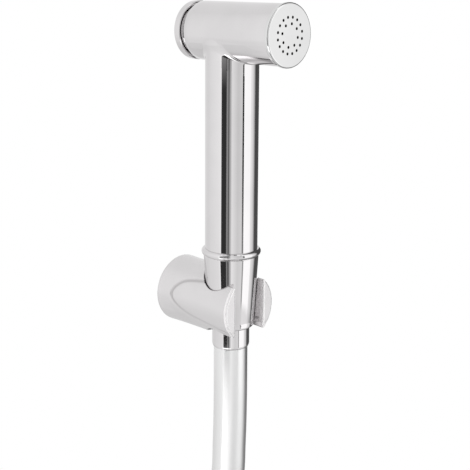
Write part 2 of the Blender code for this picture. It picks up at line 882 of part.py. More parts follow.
def make_hose_fittings(side):
    """Barbed tail, crimped ferrule and flat washer at one end of the hose."""
    place, turn = fitting_place(side)
    barbs = []
    pitch = TAIL_STEM_LENGTH / (TAIL_BARBS + 1)
    for i in range(TAIL_BARBS):
        top = -pitch * (i + 0.5)
        barbs += [
            (TAIL_STEM_RADIUS, top),
            (TAIL_STEM_RADIUS + TAIL_BARB, top),
            (TAIL_STEM_RADIUS, top - pitch / 2),
        ]
    tail = turned(
        f"hose_tail_{side}",
        [
            (TAIL_FLANGE_RADIUS, TAIL_FLANGE_FRONT),
            (TAIL_FLANGE_RADIUS, TAIL_FLANGE_BACK),
            (TAIL_NECK_RADIUS, TAIL_FLANGE_BACK),
            (TAIL_NECK_RADIUS, CLEARANCE),
            (TAIL_STEM_RADIUS, CLEARANCE),
            *barbs,
            (TAIL_STEM_RADIUS, -TAIL_STEM_LENGTH),
            (TAIL_BORE_RADIUS, -TAIL_STEM_LENGTH),
            (TAIL_BORE_RADIUS, TAIL_FLANGE_FRONT),
        ],
        place,
        turn,
        facets=SMALL,
    )
    brass(tail)
    inner = HOSE_RADIUS + CLEARANCE
    mouth = FERRULE_FRONT - FERRULE_LENGTH
    ferrule = turned(
        f"hose_ferrule_{side}",
        [
            (FERRULE_RADIUS, FERRULE_FRONT),
            (FERRULE_RADIUS, mouth + FERRULE_CHAMFER),
            (inner, mouth),
            (inner, FERRULE_FRONT - FERRULE_TOP),
            (TAIL_NECK_RADIUS + CLEARANCE, FERRULE_FRONT - FERRULE_TOP),
            (TAIL_NECK_RADIUS + CLEARANCE, FERRULE_FRONT),
        ],
        place,
        turn,
    )
    chrome(ferrule)
    washer = turned(
        f"hose_washer_{side}",
        tube_profile(TAIL_FLANGE_RADIUS, HOSE_WASHER_BORE, HOSE_WASHER_FRONT, HOSE_WASHER_BACK),
        place,
        turn,
        facets=SMALL,
    )
    rubber(washer)


def stem_cutter(side):
    """The room that the barbed tail takes up inside the hose."""
    place, turn = fitting_place(side)
    reach = CLEARANCE + TAIL_STEM_LENGTH
    hole = TAIL_STEM_RADIUS + TAIL_BARB + CLEARANCE
    return turned(
        f"stem_room_{side}",
        [(0.0, reach), (hole, reach), (hole, -reach), (0.0, -reach)],
        place,
        turn,
        facets=SMALL,
    )


def make_hose():
    """The free stretch above the coil, the coil as one ring and the free end below it."""
    run = wire("hose_run", smooth_route(HOSE_ROUTE, 4 * HOSE_RADIUS), HOSE_RADIUS, resolution=4)
    cut(run, stem_cutter("upper"), coil_ring("coil_room_upper", CLEARANCE))
    hose_plastic(run)
    drop = [(*END_RUN_AXIS, END_RUN_TOP), (*END_RUN_AXIS, END_RUN_FOOT)]
    end = wire("hose_end_run", drop, HOSE_RADIUS, resolution=4)
    cut(end, stem_cutter("lower"), coil_ring("coil_room_lower", CLEARANCE))
    hose_plastic(end)
    hose_plastic(coil_ring("hose_coil", 0.0))


def coil_ring(name, extra):
    """The outer shape of all the coil's turns, grown by extra on every side."""
    back = -COIL_BACK - HOSE_RADIUS - extra
    front = -COIL_BACK + COIL_PITCH * COIL_TURNS + HOSE_RADIUS + extra
    outer = COIL_RADIUS + HOSE_RADIUS + extra
    inner = COIL_RADIUS - HOSE_RADIUS - extra
    corner = COIL_CORNER + extra
    section = [
        *arc((outer - corner, front - corner), corner, 90.0, 0.0, 2),
        *arc((outer - corner, back + corner), corner, 0.0, -90.0, 2),
        *arc((inner + corner, back + corner), corner, -90.0, -180.0, 2),
        *arc((inner + corner, front - corner), corner, 180.0, 90.0, 2),
    ]
    place = (COIL_CENTRE[0], 0.0, COIL_CENTRE[1])
    return turned(name, section, place, FORWARD, facets=FINE)


def rounded_outline(half_width, half_height, corner):
    """Closed outline of a rectangle with round corners, as flat curve points."""
    points = []
    for sx, sy, start in ((1, 1, 0.0), (-1, 1, 90.0), (-1, -1, 180.0), (1, -1, 270.0)):
        middle = (sx * (half_width - corner), sy * (half_height - corner))
        points += arc(middle, corner, start, start + 90.0, 3)
    return points


def make_coil_tie():
    """Strap round all the turns where the hose comes in and its free end leaves."""
    bow = TIE_WIDTH**2 / (8 * (COIL_RADIUS - HOSE_RADIUS))
    width = HOSE_RADIUS + bow + CLEARANCE
    height = (COIL_PITCH * COIL_TURNS) / 2 + HOSE_RADIUS + CLEARANCE
    curve = bpy.data.curves.new("coil_tie", "CURVE")
    curve.dimensions = "2D"
    curve.fill_mode = "BOTH"
    curve.extrude = TIE_WIDTH / 2
    for extra in (TIE_THICKNESS, 0.0):
        outline = rounded_outline(width + extra, height + extra, TIE_CORNER + extra)
        spline = curve.splines.new("POLY")
        spline.points.add(len(outline) - 1)
        spline.use_cyclic_u = True
        for spot, (x, y) in zip(spline.points, outline):
            spot.co = (x, y, 0.0, 1.0)
    outward = Vector((math.cos(TIE_ANGLE), 0.0, math.sin(TIE_ANGLE)))
    back_to_front = Vector((0.0, -1.0, 0.0))
    along = outward.cross(back_to_front)
    middle = COIL_BACK - COIL_PITCH * COIL_TURNS / 2
    place = Vector((COIL_CENTRE[0], middle, COIL_CENTRE[1])) + outward * COIL_RADIUS
    thing = add_object("coil_tie", curve)
    axes = Matrix((outward, back_to_front, along)).transposed()
    thing.matrix_world = Matrix.Translation(place) @ axes.to_4x4()
    bpy.context.view_layer.update()
    tie = from_curve(thing)
    finish(tie, (0.05, 0.05, 0.05), 0.80, 0.0)


def make_cone_nut():
    """Conical nut: it screws on the handle's spigot and seats in the bracket."""
    top, end = NUT_TOP_ABOVE_ARM, NUT_END_ABOVE_ARM
    lip_front, lip_back = HOSE_TOP + NUT_LIP_FRONT, HOSE_TOP + NUT_LIP_BACK
    groove = end + NUT_BAND

    def side(height):
        return NUT_TOP_RADIUS - (top - height) * NUT_TAPER

    nut = turned(
        "hose_cone_nut",
        [
            (side(top), top),
            (side(groove + NUT_GROOVE), groove + NUT_GROOVE),
            (side(groove) - NUT_GROOVE, groove),
            (side(groove - NUT_GROOVE), groove - NUT_GROOVE),
            *arc((side(end) - NUT_EDGE, end + NUT_EDGE), NUT_EDGE, 0.0, -90.0, 3),
            (FERRULE_RADIUS + CLEARANCE, end),
            (FERRULE_RADIUS + CLEARANCE, lip_back),
            (TAIL_NECK_RADIUS + CLEARANCE, lip_back),
            (TAIL_NECK_RADIUS + CLEARANCE, lip_front),
            (SPIGOT_RADIUS + CLEARANCE, lip_front),
            (SPIGOT_RADIUS + CLEARANCE, top),
        ],
        place=BORE_AXIS,
        facets=FINE,
    )
    chrome(nut)


def make_end_nut():
    """Hexagon union nut that spins on the free end's tail."""
    place, turn = fitting_place("lower")
    corner = HEX_FLATS / math.sqrt(3.0)
    back, mouth = NUT_LIP_BACK, NUT_LIP_BACK + HEX_LENGTH
    shape = bmesh.new()
    bmesh.ops.create_cone(
        shape,
        cap_ends=True,
        segments=6,
        radius1=corner,
        radius2=corner,
        depth=HEX_LENGTH,
        matrix=Matrix.Translation((0.0, 0.0, (back + mouth) / 2)),
    )
    mesh = bpy.data.meshes.new("hose_end_nut")
    shape.to_mesh(mesh)
    shape.free()
    nut = add_object("hose_end_nut", mesh, place, turn)
    flat = HEX_FLATS / 2
    slope = corner - flat
    crown = turned(
        "nut_crown",
        [
            (0.0, mouth + HEX_CHAMFER),
            (flat - slope, mouth + HEX_CHAMFER),
            (corner + slope, mouth - HEX_CHAMFER),
            (corner + slope, back + HEX_CHAMFER),
            (flat - slope, back - HEX_CHAMFER),
            (0.0, back - HEX_CHAMFER),
        ],
        place,
        turn,
        facets=FINE,
    )
    boolean(nut, crown, "INTERSECT")
    socket = SPIGOT_RADIUS + CLEARANCE
    neck = TAIL_NECK_RADIUS + CLEARANCE
    bore = turned(
        "nut_bore",
        [
            (0.0, mouth + HEX_CHAMFER),
            (socket, mouth + HEX_CHAMFER),
            (socket, NUT_LIP_FRONT),
            (neck, NUT_LIP_FRONT),
            (neck, back - HEX_CHAMFER),
            (0.0, back - HEX_CHAMFER),
        ],
        place,
        turn,
    )
    cut(nut, bore)
    chrome(nut)


def settle_shading():
    """Make each piece's own mesh from its modifiers: round faces smooth, real edges crisp."""
    bpy.context.view_layer.update()
    graph = bpy.context.evaluated_depsgraph_get()
    settled = {
        thing: bpy.data.meshes.new_from_object(thing.evaluated_get(graph)) for thing in PARTS.objects
    }
    for thing, mesh in settled.items():
        thing.modifiers.clear()
        thing.data = mesh
        mesh.shade_smooth()
        mesh.set_sharp_from_angle(angle=math.radians(30.0))


clear_scene()
PARTS = new_collection("handheld_bidet_shower")
CUTTERS = new_collection("cutters")

make_wall_bracket()
make_mounting_plate()
make_bracket_screw()
make_handset_body()
make_spray_face()
make_push_button()
make_gland()
make_valve()
make_return_spring()
make_cone_nut()
make_hose_fittings("upper")
make_hose()
make_coil_tie()
make_hose_fittings("lower")
make_end_nut()
settle_shading()
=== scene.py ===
import math

import bmesh
import bpy
import numpy as np
from mathutils import Matrix, Vector


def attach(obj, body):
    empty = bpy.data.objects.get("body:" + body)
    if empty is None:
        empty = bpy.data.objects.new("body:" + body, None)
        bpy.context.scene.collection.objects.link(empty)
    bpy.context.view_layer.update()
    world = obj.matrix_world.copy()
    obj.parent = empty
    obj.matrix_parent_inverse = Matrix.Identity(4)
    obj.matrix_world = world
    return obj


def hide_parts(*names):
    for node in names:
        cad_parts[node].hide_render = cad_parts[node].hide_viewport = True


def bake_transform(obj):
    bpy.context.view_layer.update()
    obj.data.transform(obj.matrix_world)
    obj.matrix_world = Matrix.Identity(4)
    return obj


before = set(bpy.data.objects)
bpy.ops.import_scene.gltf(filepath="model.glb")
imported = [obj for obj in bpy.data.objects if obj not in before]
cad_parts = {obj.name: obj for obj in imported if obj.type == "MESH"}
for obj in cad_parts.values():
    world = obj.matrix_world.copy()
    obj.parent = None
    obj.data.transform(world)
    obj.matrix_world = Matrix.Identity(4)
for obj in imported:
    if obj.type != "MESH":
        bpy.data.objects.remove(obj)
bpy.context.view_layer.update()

# The camera stands to the left of the handset, a little above it, and looks down at
# the wall bracket. The shift brings the hose into a frame that is aimed at the handle.
CAMERA_PLACE = (-0.296038, -0.324702, 0.142345)
CAMERA_AZIMUTH = math.radians(45.521)
CAMERA_PITCH = math.radians(10.987)
CAMERA_ROLL = math.radians(0.365)
LENS_MM = 75.78
SENSOR_MM = 36.0
SHIFT_DOWN = 0.1481
NEAREST_SEEN = 0.01

ahead = Vector(
    (
        math.sin(CAMERA_AZIMUTH) * math.cos(CAMERA_PITCH),
        math.cos(CAMERA_AZIMUTH) * math.cos(CAMERA_PITCH),
        -math.sin(CAMERA_PITCH),
    )
)
level = Vector((math.cos(CAMERA_AZIMUTH), -math.sin(CAMERA_AZIMUTH), 0.0))
upward = level.cross(ahead)
across = level * math.cos(CAMERA_ROLL) + upward * math.sin(CAMERA_ROLL)
above = upward * math.cos(CAMERA_ROLL) - level * math.sin(CAMERA_ROLL)

camera_data = bpy.data.cameras.new("camera")
camera_data.lens = LENS_MM
camera_data.sensor_width = SENSOR_MM
camera_data.shift_y = -SHIFT_DOWN
camera_data.clip_start = NEAREST_SEEN
camera = bpy.data.objects.new("camera", camera_data)
turn = Matrix((across, above, -ahead)).transposed().to_4x4()
camera.matrix_world = Matrix.Translation(CAMERA_PLACE) @ turn
bpy.context.scene.collection.objects.link(camera)
bpy.context.scene.camera = camera

# The hose: silver plastic tube with a fine braid under its clear skin, 1.25 m long. It
# comes straight down out of its ferrule, swings to the left below the picture, is wound
# two and a sixth turns and leaves the coil straight down to its end nut.
HOSE_RADIUS = 0.0075
HOSE_WALL = 0.0022
HOSE_ROUTE = [
    (0.0, -0.032, 0.0033),
    (0.0, -0.032, -0.0250),
    (0.0, -0.032, -0.0450),
    (-0.0002, -0.0317, -0.0650),
    (-0.0008, -0.0310, -0.0840),
    (-0.0030, -0.0282, -0.1000),
    (-0.0102, -0.0234, -0.1169),
    (-0.0190, -0.0193, -0.1281),
]
COIL_CENTRE = (0.006, -0.203)
COIL_RADIUS = 0.075
COIL_BACK = -0.016
COIL_PITCH = 0.0152
COIL_START = math.radians(120.0)
COIL_TURNS = 2.1667
STEPS_PER_TURN = 24
CURVE_STEPS = 8
BEVEL_STEPS = 14
BRAID = ((700.0, 26.0, 1.0), (700.0, -26.0, 1.0))
BRAID_SCALE = 0.9
BRAID_COLOURS = ((0.80, 0.80, 0.80), (0.83, 0.83, 0.83))
BRAID_ROUGHNESS = (0.32, 0.28)
BRAID_DEPTH = 0.00001
RAMP_ENDS = (0.35, 0.65)
END_RUN_DROPS = (-0.2210, -0.2400, -0.2600, -0.2801)

route = [Vector(point) for point in HOSE_ROUTE]
coil_steps = round(COIL_TURNS * STEPS_PER_TURN)
for i in range(coil_steps + 1):
    wound = COIL_TURNS * i / coil_steps
    around = COIL_START + 2 * math.pi * wound
    route.append(
        Vector(
            (
                COIL_CENTRE[0] + COIL_RADIUS * math.cos(around),
                COIL_BACK - COIL_PITCH * wound,
                COIL_CENTRE[1] + COIL_RADIUS * math.sin(around),
            )
        )
    )
free_end = route[-1].copy()
for height in END_RUN_DROPS:
    route.append(Vector((free_end.x, free_end.y, height)))

hose_curve = bpy.data.curves.new("hose", "CURVE")
hose_curve.dimensions = "3D"
hose_curve.resolution_u = CURVE_STEPS
hose_curve.bevel_depth = HOSE_RADIUS
hose_curve.bevel_resolution = BEVEL_STEPS
line = hose_curve.splines.new("BEZIER")
line.bezier_points.add(len(route) - 1)
for knot, point in zip(line.bezier_points, route):
    knot.co = point
    knot.handle_left_type = "AUTO"
    knot.handle_right_type = "AUTO"
hose = bpy.data.objects.new("hose", hose_curve)
bpy.context.scene.collection.objects.link(hose)
wall = hose.modifiers.new("wall", "SOLIDIFY")
wall.thickness = HOSE_WALL
wall.offset = -1.0


def new_material(name, metallic=0.0):
    """A node material with its shader and coordinates; metallic is 1 for bare metal."""
    material = bpy.data.materials.new(name)
    material.use_nodes = True
    tree = material.node_tree
    place = tree.nodes.new("ShaderNodeTexCoord")
    shader = tree.nodes["Principled BSDF"]
    shader.inputs["Metallic"].default_value = metallic
    return material, tree, shader, place


def crossed_bands(tree, source, stretches, scale, operation):
    """Two sets of fine bands on the given coordinates, joined by a math operation."""
    joined = tree.nodes.new("ShaderNodeMath")
    joined.operation = operation
    for i, stretch in enumerate(stretches):
        mapping = tree.nodes.new("ShaderNodeMapping")
        mapping.inputs["Scale"].default_value = stretch
        wave = tree.nodes.new("ShaderNodeTexWave")
        wave.bands_direction = "DIAGONAL"
        wave.inputs["Scale"].default_value = scale
        tree.links.new(source, mapping.inputs["Vector"])
        tree.links.new(mapping.outputs["Vector"], wave.inputs["Vector"])
        tree.links.new(wave.outputs["Fac"], joined.inputs[i])
    return joined.outputs["Value"]


def tinted(tree, pattern, colours, socket):
    """Send a socket two colours that blend, as the pattern goes from dark to bright."""
    ramp = tree.nodes.new("ShaderNodeValToRGB")
    for end, position, colour in zip(ramp.color_ramp.elements, RAMP_ENDS, colours):
        end.position = position
        end.color = (*colour, 1.0)
    tree.links.new(pattern, ramp.inputs["Fac"])
    tree.links.new(ramp.outputs["Color"], socket)


def ranged(tree, pattern, limits, socket):
    """Send a socket numbers between two limits, as the pattern goes from dark to bright."""
    scale = tree.nodes.new("ShaderNodeMapRange")
    scale.inputs["To Min"].default_value, scale.inputs["To Max"].default_value = limits
    tree.links.new(pattern, scale.inputs["Value"])
    tree.links.new(scale.outputs["Result"], socket)


def finished(tree, shader, pattern, colours, roughness):
    """Colour and roughen a shader by one pattern."""
    tinted(tree, pattern, colours, shader.inputs["Base Color"])
    ranged(tree, pattern, roughness, shader.inputs["Roughness"])


def relief(tree, shader, pattern, depth):
    """Raise the surface by the pattern, up to depth metres."""
    bump = tree.nodes.new("ShaderNodeBump")
    bump.inputs["Distance"].default_value = depth
    tree.links.new(pattern, bump.inputs["Height"])
    tree.links.new(bump.outputs["Normal"], shader.inputs["Normal"])


def braided_hose():
    """Satin silver braid that shows faintly through a clear glossy skin."""
    material, tree, shader, place = new_material("silver_hose", metallic=1.0)
    shader.inputs["Coat Weight"].default_value = 0.7
    shader.inputs["Coat Roughness"].default_value = 0.1
    shader.inputs["Coat IOR"].default_value = 1.6
    braid = crossed_bands(tree, place.outputs["UV"], BRAID, BRAID_SCALE, "MAXIMUM")
    finished(tree, shader, braid, BRAID_COLOURS, BRAID_ROUGHNESS)
    relief(tree, shader, braid, BRAID_DEPTH)
    return material


hose_curve.materials.append(braided_hose())
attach(hose, "root")
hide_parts("hose_run", "hose_coil", "hose_end_run")

# Ferrules: thin chromed sleeves that are crimped over the hose and its barbed tail at
# both ends. Each is turned from tube, with a small chamfer where the hose comes out.
CLEARANCE = 0.0003
FERRULE_RADIUS = 0.00825
FERRULE_LENGTH = 0.0237
FERRULE_CHAMFER = (0.00075, 0.0012)
FERRULE_TOP = 0.0008
FERRULE_EDGE = 0.00008
TAIL_NECK_RADIUS = 0.0060
SHARP = math.radians(30.0)
SAME_SPOT = 0.0000005
CHROME_TINT = (0.697, 0.684, 0.690)
CHROME_CLOUDING = 1.03
CHROME_ROUGHNESS = (0.03, 0.06)


def added(name, shape):
    """Put a worked mesh in the scene."""
    mesh = bpy.data.meshes.new(name)
    shape.to_mesh(mesh)
    shape.free()
    thing = bpy.data.objects.new(name, mesh)
    bpy.context.scene.collection.objects.link(thing)
    return thing


def new_piece(name, shape, material, body="root"):
    """Add a finished piece and let it ride on its body, where it has only one."""
    piece = added(name, shape)
    piece.data.materials.append(material)
    piece.data.shade_smooth()
    even = piece.modifiers.new("even_shading", "WEIGHTED_NORMAL")
    even.keep_sharp = True
    if body:
        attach(piece, body)
    return piece


def spun(profile, steps, edge=0.0, closed=False):
    """Spin a (radius, height) outline round Z and round its hard edges by edge."""
    shape = bmesh.new()
    points = [shape.verts.new((radius, 0.0, height)) for radius, height in profile]
    outline = points + points[:1] if closed else points
    edges = [shape.edges.new(pair) for pair in zip(outline, outline[1:])]
    bmesh.ops.spin(
        shape,
        geom=points + edges,
        cent=(0.0, 0.0, 0.0),
        axis=(0.0, 0.0, 1.0),
        angle=2 * math.pi,
        steps=steps,
        use_merge=True,
    )
    bmesh.ops.remove_doubles(shape, verts=shape.verts, dist=SAME_SPOT)
    bmesh.ops.recalc_face_normals(shape, faces=shape.faces)
    if edge > 0.0:
        round_off(shape, edge)
    return shape


def placed(shape, matrix):
    """Move a shape to its place."""
    bmesh.ops.transform(shape, matrix=matrix, verts=shape.verts)
    return shape


def bevelled(shape, edges, width, segments):
    """Round the given edges by width."""
    bmesh.ops.bevel(
        shape,
        geom=edges,
        offset=width,
        offset_type="OFFSET",
        segments=segments,
        profile=0.5,
        affect="EDGES",
        clamp_overlap=True,
        material=-1,
    )


def round_off(shape, width, sharpness=SHARP, segments=3):
    """Round each edge that is sharper than the given angle."""
    hard = [
        edge
        for edge in shape.edges
        if len(edge.link_faces) == 2 and edge.calc_face_angle() > sharpness
    ]
    bevelled(shape, hard, width, segments)


def grain(tree, place, scale, detail, stretch=(1.0, 1.0, 1.0)):
    """Fine uneven grain through the object, drawn out along an axis by stretch."""
    mapping = tree.nodes.new("ShaderNodeMapping")
    mapping.inputs["Scale"].default_value = stretch
    noise = tree.nodes.new("ShaderNodeTexNoise")
    noise.inputs["Scale"].default_value = scale
    noise.inputs["Detail"].default_value = detail
    tree.links.new(place.outputs["Object"], mapping.inputs["Vector"])
    tree.links.new(mapping.outputs["Vector"], noise.inputs["Vector"])
    return noise.outputs["Fac"]


def polished_chrome(name, tint):
    """Bright chrome plate: almost a mirror, with faint clouding and fine polishing marks."""
    material, tree, shader, place = new_material(name, metallic=1.0)
    clouds = grain(tree, place, scale=90.0, detail=3.0)
    paler = tuple(channel * CHROME_CLOUDING for channel in tint)
    tinted(tree, clouds, (tint, paler), shader.inputs["Base Color"])
    scuffs = grain(tree, place, scale=900.0, detail=2.0, stretch=(1.0, 1.0, 0.15))
    ranged(tree, scuffs, CHROME_ROUGHNESS, shader.inputs["Roughness"])
    return material


CHROME = polished_chrome("bright_chrome", CHROME_TINT)


def hose_end(side):
    """The place of a hose end's fittings: their own Z runs out of the hose."""
    if side == "upper":
        return Matrix.Translation(route[0])
    return Matrix.Translation(route[-1]) @ Matrix.Rotation(math.pi, 4, "X")


for side in ("upper", "lower"):
    top = CLEARANCE + FERRULE_TOP
    mouth = top - FERRULE_LENGTH
    bore = HOSE_RADIUS + CLEARANCE / 2
    sleeve = spun(
        [
            (FERRULE_RADIUS, top),
            (FERRULE_RADIUS, mouth + FERRULE_CHAMFER[1]),
            (FERRULE_RADIUS - FERRULE_CHAMFER[0] / 2, mouth),
            (bore, mouth),
            (bore, top - FERRULE_TOP),
            (TAIL_NECK_RADIUS + CLEARANCE, top - FERRULE_TOP),
            (TAIL_NECK_RADIUS + CLEARANCE, top),
        ],
        steps=96,
        edge=FERRULE_EDGE,
        closed=True,
    )
    ferrule = new_piece(f"ferrule_{side}", placed(sleeve, hose_end(side)), CHROME)
    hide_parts(f"hose_ferrule_{side}")

# End nut of the hose: a chromed hexagon union nut, 24 mm across flats, with turned
# chamfers on both ends. It spins on the flange of the lower tail.
HEX_FLATS = 0.0240
HEX_LENGTH = 0.0145
HEX_BACK = 0.0014
HEX_CHAMFER = 0.0009
HEX_EDGE = 0.00015
HEX_SHARP = math.radians(50.0)
NUT_LIP = 0.0020
SOCKET_RADIUS = 0.01075
CUT_SEAM = 0.000001
WORK_SEAM = 0.00001


def reshape(piece):
    """Open a finished piece's mesh for more work."""
    shape = bmesh.new()
    shape.from_mesh(piece.data)
    return shape


def shown(piece):
    """A new mesh of the piece as its modifiers leave it."""
    graph = bpy.context.evaluated_depsgraph_get()
    return bpy.data.meshes.new_from_object(piece.evaluated_get(graph))


def trimmed(piece, cutter_shape, operation="DIFFERENCE"):
    """Cut a piece by a shape, keep the mesh that is left and drop the cutter."""
    cutter = added("cutter", cutter_shape)
    step = piece.modifiers.new("cut", "BOOLEAN")
    step.operation = operation
    step.solver = "EXACT"
    step.object = cutter
    normals = piece.modifiers["even_shading"]
    normals.show_viewport = False
    bpy.context.view_layer.update()
    piece.data = shown(piece)
    normals.show_viewport = True
    piece.modifiers.remove(step)
    bpy.data.objects.remove(cutter)
    shape = reshape(piece)
    bmesh.ops.remove_doubles(shape, verts=shape.verts, dist=CUT_SEAM)
    shape.to_mesh(piece.data)
    shape.free()


def store(piece, shape):
    """Write the worked mesh back to its piece."""
    shape.to_mesh(piece.data)
    shape.free()
    piece.data.shade_smooth()


corner = HEX_FLATS / math.sqrt(3.0)
nut_shape = bmesh.new()
bmesh.ops.create_cone(
    nut_shape,
    cap_ends=True,
    segments=6,
    radius1=corner,
    radius2=corner,
    depth=HEX_LENGTH,
    matrix=hose_end("lower") @ Matrix.Translation((0.0, 0.0, HEX_BACK + HEX_LENGTH / 2)),
)
end_nut = new_piece("end_nut", nut_shape, CHROME, body="end_nut")
slope = corner - HEX_FLATS / 2
crown = spun(
    [
        (0.0, HEX_BACK + HEX_LENGTH + HEX_CHAMFER),
        (HEX_FLATS / 2 - slope, HEX_BACK + HEX_LENGTH + HEX_CHAMFER),
        (corner + slope, HEX_BACK + HEX_LENGTH - HEX_CHAMFER),
        (corner + slope, HEX_BACK + HEX_CHAMFER),
        (HEX_FLATS / 2 - slope, HEX_BACK - HEX_CHAMFER),
        (0.0, HEX_BACK - HEX_CHAMFER),
    ],
    steps=144,
)
trimmed(end_nut, placed(crown, hose_end("lower")), "INTERSECT")
bored = spun(
    [
        (0.0, HEX_BACK + 2 * HEX_LENGTH),
        (SOCKET_RADIUS, HEX_BACK + 2 * HEX_LENGTH),
        (SOCKET_RADIUS, HEX_BACK + NUT_LIP),
        (TAIL_NECK_RADIUS + CLEARANCE, HEX_BACK + NUT_LIP),
        (TAIL_NECK_RADIUS + CLEARANCE, -HEX_CHAMFER),
        (0.0, -HEX_CHAMFER),
    ],
    steps=96,
)
trimmed(end_nut, placed(bored, hose_end("lower")))
worked = reshape(end_nut)
bmesh.ops.remove_doubles(worked, verts=worked.verts, dist=WORK_SEAM)
round_off(worked, HEX_EDGE, HEX_SHARP, segments=2)
store(end_nut, worked)
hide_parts("hose_end_nut")

# Coil tie: a strap of black nylon webbing that is drawn round the turns of the hose and
# closed on itself by its hook and loop faces, so that the spare length stays wound.
TIE_ANGLE = math.radians(150.0)
TIE_WIDTH = 0.012
TIE_THICKNESS = 0.0014
TIE_CORNER = 0.0060
CORNER_STEPS = 8
THREADS = ((1500.0, 1500.0, 0.0), (0.0, 0.0, 1500.0))
THREAD_SCALE = 0.32
WEAVE_COLOURS = ((0.012, 0.012, 0.013), (0.05, 0.05, 0.055))
WEAVE_ROUGHNESS = (0.85, 0.65)
WEAVE_DEPTH = 0.0001


def woven_strap():
    """Black nylon webbing: plain weave with a slight sheen."""
    material, tree, shader, place = new_material("black_webbing")
    shader.inputs["Sheen Weight"].default_value = 0.3
    weave = crossed_bands(tree, place.outputs["Object"], THREADS, THREAD_SCALE, "MULTIPLY")
    finished(tree, shader, weave, WEAVE_COLOURS, WEAVE_ROUGHNESS)
    relief(tree, shader, weave, WEAVE_DEPTH)
    return material


def strap_loop(half_width, half_height):
    """A band round a rectangle with round corners."""
    band = bmesh.new()
    points = []
    for sx, sy, first in ((1, 1, 0.0), (-1, 1, 90.0), (-1, -1, 180.0), (1, -1, 270.0)):
        for i in range(CORNER_STEPS + 1):
            angle = math.radians(first + 90.0 * i / CORNER_STEPS)
            x = sx * (half_width - TIE_CORNER) + TIE_CORNER * math.cos(angle)
            y = sy * (half_height - TIE_CORNER) + TIE_CORNER * math.sin(angle)
            points.append(band.verts.new((x, y, -TIE_WIDTH / 2)))
    edges = [band.edges.new(pair) for pair in zip(points, points[1:] + points[:1])]
    raised = bmesh.ops.extrude_edge_only(band, edges=edges)
    moved = [item for item in raised["geom"] if isinstance(item, bmesh.types.BMVert)]
    bmesh.ops.translate(band, vec=(0.0, 0.0, TIE_WIDTH), verts=moved)
    bmesh.ops.recalc_face_normals(band, faces=band.faces)
    band.faces.ensure_lookup_table()
    outside = band.faces[0]
    if outside.normal.dot(outside.calc_center_median()) < 0:
        bmesh.ops.reverse_faces(band, faces=band.faces)
    bmesh.ops.solidify(band, geom=band.faces[:], thickness=-TIE_THICKNESS)
    bmesh.ops.recalc_face_normals(band, faces=band.faces)
    return band


outward = Vector((math.cos(TIE_ANGLE), 0.0, math.sin(TIE_ANGLE)))
to_front = Vector((0.0, -1.0, 0.0))
tie_axes = Matrix((outward, to_front, outward.cross(to_front))).transposed().to_4x4()
tie_centre = Vector((COIL_CENTRE[0], COIL_BACK - COIL_PITCH * COIL_TURNS / 2, COIL_CENTRE[1]))
tie_place = Matrix.Translation(tie_centre + outward * COIL_RADIUS) @ tie_axes
tie_bow = TIE_WIDTH**2 / (8 * (COIL_RADIUS - HOSE_RADIUS))
tie_width = HOSE_RADIUS + tie_bow + CLEARANCE
tie_height = COIL_PITCH * COIL_TURNS / 2 + HOSE_RADIUS + CLEARANCE
strap_shape = placed(strap_loop(tie_width, tie_height), tie_place)
strap = new_piece("coil_strap", strap_shape, woven_strap())
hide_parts("coil_tie")

# Barbed tails and flat washers in the hose ends: brass straight from the lathe, with fine
# rings and dull patches, and moulded black rubber with a dusty bloom. They keep the shape
# that the frame gives them.


def grained(name, metallic, size, colours, roughness, depth=0.0, marks=None):
    """A finish from one grain, in relief by that grain or by marks of another size."""
    material, tree, shader, place = new_material(name, metallic)
    pattern = grain(tree, place, *size)
    finished(tree, shader, pattern, colours, roughness)
    if depth > 0.0:
        relief(tree, shader, grain(tree, place, *marks) if marks else pattern, depth)
    return material


BRASS = grained(
    "turned_brass",
    metallic=1.0,
    size=(160.0, 4.0),
    colours=((0.60, 0.43, 0.19), (0.76, 0.60, 0.32)),
    roughness=(0.24, 0.38),
    depth=0.00002,
    marks=(1800.0, 2.0),
)
RUBBER = grained(
    "black_rubber",
    metallic=0.0,
    size=(400.0, 4.0),
    colours=((0.018, 0.018, 0.018), (0.035, 0.035, 0.034)),
    roughness=(0.5, 0.7),
    depth=0.00003,
)


def dress(node, material):
    """Give a piece of the frame its finish."""
    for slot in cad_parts[node].material_slots:
        slot.material = material


for node in ("hose_tail_upper", "hose_tail_lower"):
    dress(node, BRASS)
for node in ("hose_washer_upper", "hose_washer_lower"):
    dress(node, RUBBER)

# Handset body: one brass casting, ground, polished and chromed. A level barrel carries
# the spray face and the button; the handle below it ends in a bead and a spigot that
# screws into the hose nut.
WALL_TO_BORE = 0.032
NUT_TOP = 0.0221
BEAD_HEIGHT = 0.0030
BEAD_RADIUS = 0.01295
HANDLE_RADIUS = 0.01145
HANDLE_LENGTH = 0.0944
HANDLE_BORE = 0.0080
SPIGOT_RADIUS = 0.01045
SPIGOT_END = 0.0111
BARREL_RADIUS = 0.0126
BARREL_FRONT = 0.0299
BARREL_REAR = -0.0176
BARREL_CHAMFER = (0.0009, 0.0013)
FRONT_SOCKET = (0.0110, 0.0249)
FRONT_CHAMBER_RADIUS = 0.0104
SEAT_FRONT = 0.0117
SEAT_HOLE = 0.0045
CHAMBER = (0.0084, 0.0089)
GLAND_SOCKET = (0.0096, -0.0130)
REAR_SOCKET_RADIUS = 0.0110
BLEND = (0.0004, 0.0013)
BLEND_SIDES = (0.0015, 0.0035)
BLEND_ZONE = 0.0050
BLEND_STEP = 0.0004
ON_SURFACE = 0.00001
SLOPE_STEP = 0.000002
DRAWS = 4
LEAST_STEEP = 0.25

